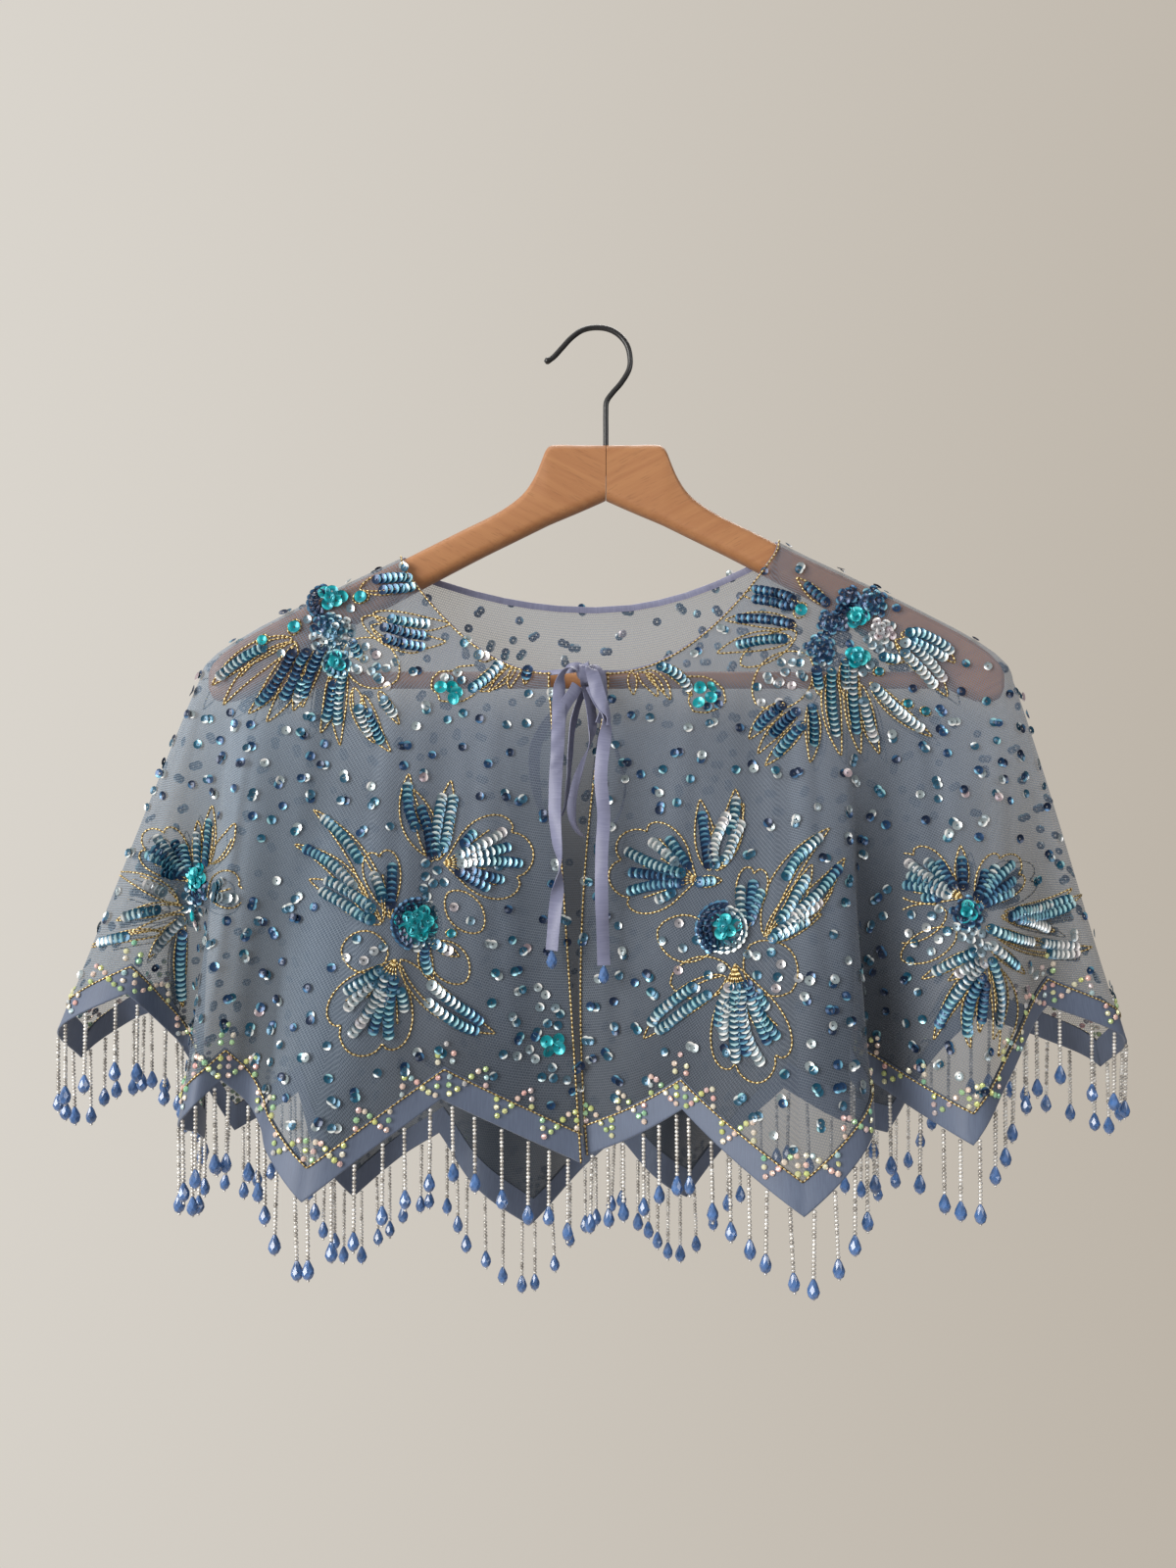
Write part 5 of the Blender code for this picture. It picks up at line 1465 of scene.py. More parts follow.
def neck_binding():
    """Narrow ribbon folded over the neckline's edge, its ends running into the knot."""
    half = NECK_FRONT + NECK_BACK
    rows = neck_line(half + (6.0,) + tuple(12.0 - t for t in half[::-1]))
    start, end = (
        np.concatenate((np.array(KNOT_CENTRE) + (x, 0.5, 1.5), UPWARD, (0, -1, 0), (0.5,)))
        for x in (-3.0, 3.0)
    )
    rows[0][9] = rows[-1][9] = 0.7
    rows = spaced([start] + rows + [end], 2.2)
    rings, flat = [], []
    for row, along in zip(rows, running_lengths(rows)):
        centre, up, out = row[:3], unit(row[3:6]), unit(row[6:9])
        width, depth = 0.9 + 2.7 * row[9], 0.35 + 0.55 * row[9]
        centre = centre - 0.1 * up
        rings.append([centre + up * s.up * 0.5 * width + out * s.out * depth for s in NECK_SECTION])
        flat += [(along * MM, n * 0.9 * MM) for n in range(len(NECK_SECTION))]
    belongs(sweep("neck_ribbon", rings, RIBBON, RIBBON_ANGLE, flat), "neck_binding")


# Flowers and leaves

ROW_SEQUIN_SIZE = 1.2
ROW_LIFT = 1.05
LAST_TINT = 0.99
CORDS = {name: [] for name in PANELS}
SMALL_SEQUINS = {name: [] for name in PANELS}
BIG_SEQUINS = {name: [] for name in PANELS}
Hit = namedtuple("Hit", "place out panel")


def curve_points(x0, y0, x1, y1, bend, count):
    """Points of a line bowed sideways by a share of its length."""
    t = np.linspace(0.0, 1.0, count)
    dx, dy = x1 - x0, y1 - y0
    bow = 4.0 * bend * t * (1.0 - t)
    return np.stack((x0 + dx * t - dy * bow, y0 + dy * t + dx * bow), 1)


def leaning(normal, wobble):
    """Direction at random about the normal, and one square to it."""
    lean = unit(normal + wobble * chance.normal(size=3))
    return lean, unit(np.cross(lean, chance.normal(size=3)))


def petals(hit, radius, count, lift, rise, opening, wobble):
    """Spiral about a hit, highest in the middle: place, two directions and share outwards."""
    one = unit(np.cross(hit.out, UPWARD))
    two = np.cross(hit.out, one)
    for k in range(count):
        angle = k * GOLDEN_ANGLE
        share = math.sqrt((k + 0.4) / count)
        out = one * math.cos(angle) + two * math.sin(angle)
        facing = unit(hit.out + out * (0.05 + opening * share) + wobble * chance.normal(size=3))
        along = unit(out - facing * np.dot(out, facing))
        place = hit.place + out * radius * share + hit.out * (lift + rise * (1.0 - share**1.5))
        yield place, facing, along, share


def sew_row(hits, tint_from, tint_to):
    """Row of sequins that overlap like scales, each leaning on the one before."""
    even = spaced([np.concatenate((hit.place, hit.out)) for hit in hits], SEQUIN_PITCH)
    for k in range(len(even) - 1):
        way = unit(even[k + 1, :3] - even[k, :3])
        normal = unit(even[k, 3:])
        lean = math.radians(13.0 + chance.uniform(-4, 4))
        facing = unit(normal * math.cos(lean) - way * math.sin(lean))
        share = k / max(1, len(even) - 2)
        tint = tint_from + (tint_to - tint_from) * share + chance.uniform(-0.1, 0.1)
        size = ROW_SEQUIN_SIZE * chance.uniform(0.94, 1.04)
        sequin = Sewn(even[k, :3] + normal * ROW_LIFT, facing, way, size, clamp(tint, LAST_TINT))
        SMALL_SEQUINS[hits[len(hits) // 2].panel].append(sequin)


class Hoop:
    """Enlarged detail of the photograph, in whose pixels a flower is laid out.

    Its stitches are carried on to the cloth along the camera's lines of sight, or
    straight from behind for the back.
    """

    def __init__(self, corner, scale, turns, from_behind=None):
        self.corner = corner
        self.scale = scale
        self.from_behind = from_behind
        self.trees = []
        for panel in PANELS.values():
            inside = np.where((panel.turns >= turns[0] - 1e-6) & (panel.turns <= turns[1] + 1e-6))[0]
            if len(inside) < 2:
                continue
            stretch = slice(inside[0], inside[-1] + 1)
            points = panel.points[stretch]
            tree = BVHTree.FromPolygons(points.reshape(-1, 3).tolist(), grid_faces(*points.shape[:2]))
            self.trees.append((tree, panel.normals[stretch], panel.name))

    def ray(self, x, y):
        """Start and direction of the line of sight through a pixel of the detail."""
        if self.from_behind is None:
            across = self.corner[0] + x / self.scale - PHOTO_MIDDLE[0]
            down = self.corner[1] + y / self.scale - PHOTO_MIDDLE[1]
            way = unit((across * PIXEL_SIZE, -CAMERA_AT[1], -down * PIXEL_SIZE))
            return Vector(CAMERA_AT), Vector(way)
        middle_x, middle_z, pixel_x, pixel_y = self.from_behind
        across = (x - pixel_x) / self.scale * PIXEL_SIZE
        down = (y - pixel_y) / self.scale * PIXEL_SIZE
        return Vector((middle_x + across, 400.0, middle_z - down)), Vector((0.0, -1.0, 0.0))

    def on_cloth(self, x, y):
        """Nearest hit, or nothing."""
        start, way = self.ray(x, y)
        best, nearest = None, math.inf
        for tree, normals, name in self.trees:
            place, _, face, distance = tree.ray_cast(start, way)
            if place is None or distance > nearest:
                continue
            i, j = divmod(face, normals.shape[1] - 1)
            out = unit(normals[i, j] + normals[i + 1, j] + normals[i, j + 1] + normals[i + 1, j + 1])
            best, nearest = Hit(np.array(place), out, name), distance
        return best

    def stretches(self, points, step, longest_gap, one_panel):
        """Hits along a drawn line, in stretches that end where the cloth isn't under it."""
        runs, last = [], None
        for x, y in spaced(points, step * self.scale):
            hit = self.on_cloth(x, y)
            if hit is not None:
                gap = np.linalg.norm(hit.place - last.place) if last else math.inf
                if gap > longest_gap or (one_panel and hit.panel != last.panel):
                    runs.append([])
                runs[-1].append(hit)
            last = hit
        return runs

    def line(self, points):
        """Cord along a drawn line, broken where the cloth isn't under it."""
        for hits in self.stretches(points, 1.5, CORD_BREAK, True):
            if len(hits) > 2:
                CORDS[hits[0].panel].append([hit.place + hit.out * OFF_CLOTH for hit in hits])

    def row(self, points, tint_from, tint_to):
        """Row of sequins on each unbroken stretch of a drawn line."""
        for hits in self.stretches(points, 0.8, ROW_BREAK, False):
            if len(hits) > 3:
                sew_row(hits, tint_from, tint_to)

    def single(self, x, y, tint):
        hit = self.on_cloth(x, y)
        if hit is not None:
            lean, along = leaning(hit.out, 0.09)
            SMALL_SEQUINS[hit.panel].append(Sewn(hit.place + hit.out * 0.7, lean, along, 1.0, tint))

    def few(self, tint, *spots):
        """Single sequins of one tint."""
        for x, y in spots:
            self.single(x, y, tint)

    def mixed(self, tint, *spots):
        """Single sequins of tints about one."""
        for x, y in spots:
            self.single(x, y, min(0.95, tint + chance.uniform(-0.1, 0.2)))

    def big(self, tint, *spots):
        """Large turquoise sequins that overlap one another."""
        for k, (x, y) in enumerate(spots):
            hit = self.on_cloth(x, y)
            if hit is not None:
                lean, along = leaning(hit.out, 0.22)
                tone = clamp(tint + chance.uniform(-0.3, 0.25))
                place = hit.place + hit.out * (0.9 + 0.5 * k)
                BIG_SEQUINS[hit.panel].append(Sewn(place, lean, along, 1.0, tone))

    def rosette(self, x, y, radius, count, tint):
        """Big cupped sequins set in a spiral like petals."""
        hit = self.on_cloth(x, y)
        if hit is not None:
            for place, facing, along, share in petals(hit, radius, count, 1.0, 2.2, 0.26, 0.07):
                tone = clamp(tint + chance.uniform(-0.3, 0.35))
                BIG_SEQUINS[hit.panel].append(Sewn(place, facing, along, 0.84 + 0.2 * share, tone))

    def cluster(self, x, y, radius, count, tint, spread=0.12):
        """Heap of small sequins in a spiral, highest in the middle."""
        hit = self.on_cloth(x, y)
        if hit is not None:
            for place, facing, along, _ in petals(hit, radius, count, 0.8, 1.6, 0.32, 0.1):
                tone = clamp(tint + chance.uniform(-spread, spread), LAST_TINT)
                size = chance.uniform(0.9, 1.0)
                SMALL_SEQUINS[hit.panel].append(Sewn(place, facing, along, size, tone))

    def ring(self, x, y, radius, start, stop, tint, layers):
        """Arc of small sequins round a rosette that overlap like a row; angles in degrees."""
        hit = self.on_cloth(x, y)
        if hit is None:
            return
        one = unit(np.cross(UPWARD, hit.out))
        two = np.cross(hit.out, one)
        for layer in range(layers):
            reach = radius + 2.3 * layer
            count = max(2, int(abs(stop - start) / 360.0 * FULL_TURN * reach / RING_PITCH))
            for k in range(count):
                angle = math.radians(start + (stop - start) * (k + 0.5 * (layer % 2)) / count)
                out = one * math.cos(angle) + two * math.sin(angle)
                around = two * math.cos(angle) - one * math.sin(angle)
                leant = hit.out - around * 0.24 + out * (0.16 + 0.1 * layer)
                facing = unit(leant + 0.05 * chance.normal(size=3))
                along = unit(out - facing * np.dot(out, facing))
                place = hit.place + out * reach + hit.out * (1.4 - 0.35 * layer)
                tone = clamp(tint + chance.uniform(-0.09, 0.09), LAST_TINT)
                SMALL_SEQUINS[hit.panel].append(Sewn(place, facing, along, 1.0, tone))

    def leaf(self, x0, y0, x1, y1, width, bend=0.0, rows=1, tints=(NAVY, TEAL), low=0.12, high=0.82):
        """Pointed leaf: outline of cord, rows of sequins inside."""
        spine = curve_points(x0, y0, x1, y1, bend, 25)
        t = np.linspace(0.0, 1.0, 25)
        half = 0.5 * width * np.sin(np.pi * t**0.85) ** 0.75 * (1.0 - 0.25 * t)
        way = np.gradient(spine, axis=0)
        way = way / np.linalg.norm(way, axis=1)[:, None]
        side = np.stack((-way[:, 1], way[:, 0]), 1)
        off = side * half[:, None]
        self.line(np.vstack((spine + off, (spine - off)[::-1])))
        if width > 70:
            self.line((spine + off * 0.58)[1:17])
        for r in range(rows):
            shift = 0.0 if rows == 1 else (r / (rows - 1) - 0.5) * width * 0.5
            first = min(23, int(int(low * 24) + 0.1 * (r % 2) * 24))
            inside = slice(first, int(high * 24) + 1)
            narrowing = np.clip(np.sin(np.pi * t[inside]) * 1.4, 0, 1)[:, None]
            track = spine[inside] + side[inside] * shift * narrowing
            if len(track) > 2:
                self.row(track, *tints)

    def fan(self, x, y, reach, start, stop, lobes, rows, tints, sway=0.0):
        """Fan petal: scalloped outline and rows that spread from its base."""

        def spoke(share, near, far, bend, count):
            turned = math.radians(start + (stop - start) * (0.08 + 0.84 * share))
            dx, dy = math.cos(turned), -math.sin(turned)
            return curve_points(x + near * dx, y + near * dy, x + far * dx, y + far * dy, bend, count)

        share = np.linspace(0.0, 1.0, 12 * lobes + 1)
        angles = np.radians(start + (stop - start) * share)
        wide = np.sin(np.pi * np.clip(share * 0.92 + 0.04, 0, 1)) ** 0.4
        radii = reach * wide * (0.86 + 0.14 * np.abs(np.sin(np.pi * share * lobes)) ** 0.6)
        edge = np.stack((x + radii * np.cos(angles), y - radii * np.sin(angles)), 1)
        self.line(np.vstack(([[x, y]], edge, [[x, y]])))
        for v in range(1, rows):
            self.line(spoke(v / rows, 0.0, reach * (0.62 if v % 2 else 0.46), sway, 10))
        for r in range(rows):
            part = (r + 0.5) / rows
            far = reach * (0.78 if r % 2 else 0.88) * float(np.interp(part, share, wide))
            near = reach * (0.2 + 0.12 * (r % 2))
            self.row(spoke(part, near, far, sway + 0.05 * math.sin(2.1 * r), 14), *tints[r % len(tints)])

    def loose_petal(self, x0, y0, x1, y1, width, singles):
        """Rounded petal of cord alone, with a few sequins strewn inside."""
        spine = curve_points(x0, y0, x1, y1, 0.0, 21)
        t = np.linspace(0.0, 1.0, 21)
        half = 0.5 * width * np.clip(np.sin(np.pi * t), 0.0, 1.0) ** 0.55
        way = unit((x1 - x0, y1 - y0))
        side = np.array((-way[1], way[0]))
        off = side * half[:, None]
        self.line(np.vstack((spine + off, (spine - off)[::-1])))
        for k in range(singles):
            part = (k + 0.7) / (singles + 0.4) * math.hypot(x1 - x0, y1 - y0)
            aside = 0.275 * width * math.sin(2.4 * k + 0.6)
            x, y = np.array((x0, y0)) + way * part + side * aside
            self.single(x, y, min(0.95, SILVER + chance.uniform(-0.14, 0.3)))

    def bud(self, x, y, turned, tint, size):
        """Oval ring of cord round one big sequin."""
        angles = np.linspace(0.0, FULL_TURN, 21)
        cos, sin = math.cos(math.radians(turned)), math.sin(math.radians(turned))
        long = 4.6 * size / PIXEL_SIZE * self.scale * np.cos(angles)
        short = 3.2 * size / PIXEL_SIZE * self.scale * np.sin(angles)
        self.line(np.stack((x + long * cos - short * sin, y - long * sin - short * cos), 1))
        hit = self.on_cloth(x, y)
        if hit is not None:
            along = unit(np.cross(hit.out, UPWARD))
            BIG_SEQUINS[hit.panel].append(Sewn(hit.place + hit.out, hit.out, along, size, tint))


DARK = (NAVY, BLUE)
DEEP = (BLUE, TEAL)
COOL = (TEAL, SILVER)
PALE = (SILVER, CLEAR)
FADE = (CLEAR, BLUE)


def left_front_flower(e):
    e.leaf(740, 485, 630, 115, 120, 0.06, 1, DARK, 0.1, 0.78)
    e.leaf(770, 470, 625, 45, 130, -0.14, 1, DEEP, 0.42, 0.93)
    e.leaf(765, 480, 835, 80, 120, 0.0, 2, COOL, 0.12, 0.85)
    e.fan(800, 495, 450, -46, 60, 3, 6, [DARK, DARK, FADE, FADE, PALE, DEEP])
    e.few(
        SILVER,
        (705, 495), (705, 560), (745, 595), (695, 620), (712, 660), (800, 590), (765, 530),
        (1070, 510),
    )
    e.loose_petal(820, 640, 985, 835, 170, 2)
    e.loose_petal(750, 890, 905, 1090, 180, 0)
    e.leaf(750, 895, 875, 960, 60, 0.0, 1, PALE)
    e.leaf(705, 900, 750, 1090, 80, 0.1, 1, DEEP)
    e.bud(835, 845, 0, 0.2, 0.7)
    e.leaf(580, 975, 1055, 1345, 150, 0.08, 2, FADE, 0.36, 0.88)
    e.fan(555, 975, 520, 200, 292, 3, 6, [COOL, PALE, PALE, FADE, DEEP, COOL])
    e.fan(530, 770, 360, 72, 128, 2, 2, [DARK, COOL])
    e.leaf(490, 790, 145, 225, 110, 0.1, 1, COOL, 0.5, 0.95)
    e.leaf(430, 770, 50, 400, 100, 0.12, 1, FADE, 0.35, 0.95)
    e.leaf(480, 800, 125, 575, 130, 0.05, 2, COOL, 0.15, 0.85)
    e.loose_petal(520, 950, 285, 925, 210, 5)
    e.ring(665, 800, 9.5, 80, 250, NAVY + 0.05, 2)
    e.ring(665, 800, 9.5, -100, 75, SILVER, 2)
    e.rosette(665, 795, 9.5, 15, 0.5)


def right_front_flower(e):
    e.fan(420, 545, 425, 106, 224, 4, 6, [DEEP, PALE, COOL, DARK, DEEP, COOL])
    e.leaf(480, 500, 435, 165, 110, 0.0, 1, DARK, 0.12, 0.85)
    e.leaf(500, 490, 600, 115, 130, 0.08, 1, COOL, 0.5, 0.95)
    e.leaf(515, 500, 640, 185, 150, -0.06, 2, PALE, 0.1, 0.8)
    e.leaf(425, 555, 540, 545, 60, 0.0, 1, DEEP)
    e.fan(640, 800, 335, 56, 104, 2, 3, [DEEP, DARK, COOL])
    e.leaf(740, 810, 1045, 300, 120, -0.1, 1, COOL, 0.5, 0.95)
    e.leaf(745, 805, 960, 470, 110, 0.06, 1, COOL, 0.25, 0.9)
    e.leaf(750, 815, 1115, 440, 110, 0.05, 1, FADE, 0.3, 0.92)
    e.leaf(755, 820, 1060, 580, 100, 0.04, 1, PALE, 0.15, 0.82)
    e.leaf(760, 830, 1005, 705, 80, 0.0, 1, COOL, 0.1, 0.8)
    e.loose_petal(670, 850, 865, 1070, 250, 8)
    e.fan(600, 940, 570, 246, 318, 3, 8, [FADE, PALE, COOL, DARK, PALE, FADE, DEEP, COOL], 0.06)
    e.leaf(560, 1000, 170, 1290, 140, 0.05, 2, COOL, 0.25, 0.9)
    e.loose_petal(500, 860, 235, 780, 220, 5)
    e.loose_petal(590, 980, 295, 1030, 200, 4)
    e.ring(545, 775, 8.0, 90, 250, NAVY + 0.05, 3)
    e.ring(545, 775, 8.0, -120, 80, SILVER, 2)
    e.rosette(560, 765, 6.0, 7, 0.55)


def left_shoulder_spray(e):
    e.leaf(980, 215, 1310, 190, 120, -0.04, 2, DEEP, 0.3, 0.95)
    e.leaf(1050, 345, 1465, 400, 110, 0.06, 1, COOL, 0.25, 0.75)
    e.leaf(1040, 410, 1440, 495, 120, 0.08, 2, DARK, 0.2, 0.75)
    e.loose_petal(990, 370, 1300, 545, 130, 0)
    e.leaf(620, 480, 190, 730, 110, 0.08, 1, COOL, 0.35, 0.95)
    e.leaf(640, 500, 250, 835, 90, 0.08, 0)
    e.leaf(640, 510, 385, 880, 110, -0.06, 1, DARK, 0.15, 0.88)
    e.leaf(680, 560, 480, 925, 110, -0.05, 1, DARK, 0.2, 0.7)
    e.leaf(700, 550, 640, 640, 50, 0.0, 1, DARK)
    e.leaf(680, 640, 622, 865, 80, -0.05, 1, COOL, 0.3, 0.85)
    e.leaf(790, 510, 670, 850, 90, 0.05, 1, DARK, 0.1, 0.9)
    e.leaf(840, 640, 768, 985, 90, -0.06, 1, DEEP, 0.25, 0.85)
    e.leaf(900, 640, 875, 1050, 90, 0.05, 1, COOL, 0.12, 0.78)
    e.leaf(950, 740, 1060, 1040, 90, 0.06, 1, PALE, 0.4, 0.9)
    e.leaf(1000, 780, 1145, 1085, 90, 0.08, 1, DEEP, 0.3, 0.85)
    e.leaf(1080, 760, 1190, 940, 60, 0.0, 1, PALE, 0.3, 0.8)
    e.loose_petal(900, 520, 1180, 700, 260, 9)
    e.leaf(940, 500, 1000, 610, 60, 0.0, 1, DEEP)
    e.bud(985, 260, 20, 0.5, 1.0)
    e.bud(630, 420, 60, 0.5, 1.0)
    e.bud(460, 490, 50, 0.9, 0.8)
    e.cluster(850, 450, 10.0, 26, SILVER, 0.2)
    e.cluster(790, 410, 6.0, 9, BLUE, 0.14)
    e.rosette(835, 265, 5.4, 6, 0.55)
    e.ring(800, 290, 6.0, 90, 270, NAVY, 2)
    e.rosette(855, 610, 3.8, 4, 0.5)
    e.ring(855, 615, 5.6, 0, 360, TEAL, 1)
    e.few(
        SILVER + 0.06,
        (730, 470), (745, 520), (770, 555), (905, 520), (930, 560), (955, 640), (1000, 590),
        (1040, 655), (1085, 700), (1120, 640), (560, 560), (700, 380), (930, 320),
    )


def right_shoulder_spray(e):
    e.leaf(640, 300, 330, 235, 100, 0.05, 2, DARK, 0.1, 0.85)
    e.leaf(620, 400, 250, 370, 90, 0.05, 1, DARK, 0.12, 0.9)
    e.leaf(600, 470, 210, 540, 110, 0.06, 1, DEEP, 0.15, 0.78)
    e.loose_petal(620, 430, 330, 600, 130, 0)
    e.leaf(780, 290, 620, 150, 70, 0.0, 1, DARK)
    e.loose_petal(690, 560, 410, 800, 270, 10)
    e.leaf(560, 800, 375, 985, 90, 0.05, 1, DARK)
    e.leaf(640, 830, 420, 1060, 80, 0.05, 1, DARK, 0.1, 0.7)
    e.leaf(660, 900, 460, 1120, 80, 0.0, 1, DEEP)
    e.leaf(690, 800, 690, 1105, 90, -0.05, 1, DEEP, 0.12, 0.75)
    e.leaf(720, 620, 740, 760, 60, 0.0, 1, DEEP)
    e.leaf(800, 620, 850, 1070, 110, 0.05, 1, COOL, 0.08, 0.8)
    e.leaf(870, 570, 870, 780, 70, 0.0, 1, COOL)
    e.leaf(910, 600, 950, 1060, 100, 0.04, 1, FADE, 0.08, 0.8)
    e.leaf(950, 700, 1050, 1060, 90, 0.04, 1, PALE, 0.25, 0.85)
    e.leaf(1000, 690, 1320, 970, 90, 0.04, 1, PALE, 0.12, 0.9)
    e.bud(1195, 800, -30, 0.1, 0.7)
    e.bud(1285, 840, -30, 0.1, 0.7)
    e.bud(1045, 635, 0, 0.1, 0.7)
    e.leaf(1060, 560, 1180, 580, 60, 0.0, 1, COOL)
    e.leaf(1130, 470, 1400, 765, 120, -0.05, 2, PALE, 0.15, 0.85)
    e.leaf(1160, 440, 1440, 590, 110, -0.08, 2, COOL, 0.15, 0.9)
    e.bud(640, 320, 60, 0.55, 1.0)
    e.rosette(930, 360, 4.4, 6, 0.55)
    e.ring(900, 350, 5.0, 60, 250, NAVY, 2)
    e.rosette(935, 565, 4.2, 6, 0.5)
    e.cluster(790, 385, 6.5, 13, NAVY + 0.06)
    e.cluster(740, 520, 8.0, 16, BLUE, 0.16)
    e.cluster(1060, 430, 6.5, 12, CLEAR + 0.06, 0.1)
    e.cluster(1010, 280, 8.0, 16, BLUE, 0.16)
    e.cluster(890, 250, 5.5, 9, NAVY + 0.08)
    e.few(
        SILVER + 0.06,
        (560, 640), (600, 590), (640, 650), (520, 700), (470, 660), (1010, 500), (1050, 520),
        (1100, 500), (1110, 400), (985, 470), (1000, 600), (750, 590), (680, 760), (960, 640),
    )


def left_side_flower(e):
    e.fan(700, 520, 460, 95, 172, 3, 6, [DEEP, DARK, COOL, DARK, DEEP, DARK])
    e.leaf(740, 430, 735, 110, 90, 0.0, 1, COOL)
    e.leaf(790, 420, 830, 10, 110, 0.0, 1, DEEP)
    e.leaf(820, 400, 980, 130, 110, 0.05, 0)
    e.fan(800, 620, 250, -40, 80, 2, 2, [PALE, COOL])
    e.leaf(600, 660, 195, 460, 130, 0.05, 1, PALE, 0.3, 0.6)
    e.leaf(640, 690, 190, 780, 100, 0.05, 1, COOL, 0.45, 0.95)
    e.leaf(640, 740, 270, 870, 70, 0.0, 0)
    e.leaf(650, 760, 400, 1030, 90, 0.05, 1, PALE, 0.12, 0.9)
    e.leaf(500, 860, 10, 960, 80, 0.05, 1, COOL, 0.5, 0.9)
    e.leaf(640, 800, 630, 1360, 100, 0.04, 1, DEEP, 0.15, 0.92)
    e.cluster(740, 580, 8.0, 14, NAVY + 0.08)
    e.few(
        SILVER,
        (670, 560), (650, 610), (690, 640), (730, 660), (780, 600), (820, 560), (840, 620), (700, 700),
        (650, 700), (760, 720),
    )
    e.rosette(740, 500, 6.4, 9, 0.55)
    e.rosette(730, 745, 1.0, 1, 0.6)


def right_side_flower(e):
    e.fan(590, 560, 465, 112, 190, 3, 6, [DARK, COOL, PALE, DEEP, FADE, DEEP])
    e.leaf(595, 510, 580, 250, 90, 0.0, 1, DARK)
    e.fan(660, 620, 400, 12, 88, 3, 5, [DEEP, DARK, DEEP, COOL, DARK])
    e.leaf(830, 680, 1300, 540, 90, 0.05, 2, DEEP, 0.1, 0.9)
    e.leaf(840, 640, 1240, 500, 80, 0.1, 1, COOL, 0.2, 0.7)
    e.leaf(820, 670, 1140, 760, 80, -0.04, 1, PALE, 0.3, 0.9)
    e.leaf(730, 730, 1080, 830, 80, 0.05, 1, COOL)
    e.leaf(770, 760, 1360, 850, 110, 0.08, 2, PALE, 0.5, 0.88)
    e.leaf(750, 830, 960, 1010, 80, 0.0, 1, FADE)
    e.loose_petal(500, 640, 130, 780, 210, 7)
    e.loose_petal(560, 760, 230, 920, 180, 5)
    e.leaf(680, 870, 350, 1040, 80, 0.0, 1, COOL)
    e.leaf(700, 920, 510, 1050, 70, 0.0, 1, PALE)
    e.leaf(730, 930, 425, 1400, 100, 0.06, 1, FADE, 0.08, 0.9)
    e.leaf(725, 1000, 640, 1450, 90, 0.12, 1, DEEP, 0.1, 0.9)
    e.leaf(735, 960, 690, 1360, 80, 0.0, 1, DARK, 0.3, 0.9)
    e.leaf(755, 920, 770, 1400, 110, -0.1, 1, COOL, 0.08, 0.9)
    e.leaf(770, 960, 800, 1500, 130, -0.14, 0)
    e.cluster(620, 655, 8.0, 16, NAVY + 0.08)
    e.rosette(620, 640, 4.0, 5, 0.6)
    e.few(
        SILVER + 0.08,
        (560, 730), (610, 745), (655, 755), (700, 770), (590, 790), (640, 805), (690, 825), (735, 845),
        (650, 860), (700, 885),
    )


def neck_sprays(left, right):
    """Small flowers and leaves that hang from the front of the neckline."""
    left.line([
        (330, 545), (270, 550), (240, 568), (190, 570), (160, 600), (158, 640), (185, 660),
        (190, 686), (235, 692), (285, 688), (330, 662), (335, 625), (350, 590),
    ])
    left.leaf(318, 640, 448, 515, 52, 0.06, 1, COOL, 0.05, 0.95)
    left.leaf(335, 500, 415, 505, 48, 0.1, 1, PALE, 0.2, 0.85)
    left.leaf(500, 530, 350, 650, 44, -0.1, 0)
    left.leaf(500, 528, 385, 655, 30, 0.02, 0)
    left.leaf(520, 540, 470, 640, 46, 0.1, 0)
    left.leaf(548, 550, 530, 622, 34, 0.0, 1, DARK, 0.2, 0.8)
    left.big(0.75, (238, 632), (258, 655), (250, 678), (196, 636))
    left.mixed(SILVER, (210, 595), (262, 575), (278, 606), (228, 600))
    right.line([
        (1085, 540), (1110, 572), (1180, 590), (1245, 590), (1285, 605), (1325, 640),
        (1335, 690), (1300, 720), (1255, 735), (1205, 730), (1185, 690), (1195, 640),
    ])
    right.leaf(1068, 550, 1198, 672, 50, -0.14, 1, COOL, 0.08, 0.95)
    right.leaf(957, 572, 966, 664, 40, 0.0, 0)
    right.leaf(982, 575, 1062, 672, 50, -0.08, 0)
    right.leaf(1012, 568, 1114, 684, 52, -0.1, 0)
    right.leaf(1020, 575, 1090, 660, 24, -0.06, 0)
    right.big(0.75, (1230, 634), (1275, 636), (1274, 678), (1225, 700))
    right.mixed(BLUE, (1262, 712), (1306, 702), (1300, 660))


def low_flower(e):
    """Four turquoise sequins with silver ones strewn about them, near the left front edge."""
    e.big(0.7, (772, 210), (795, 205), (775, 228), (798, 222))
    e.mixed(
        SILVER,
        (770, 112), (790, 140), (800, 152), (758, 138), (748, 246), (710, 240), (784, 264), (814, 290),
        (762, 284), (786, 286), (736, 226), (866, 318), (700, 158), (708, 170), (774, 172), (795, 176),
    )


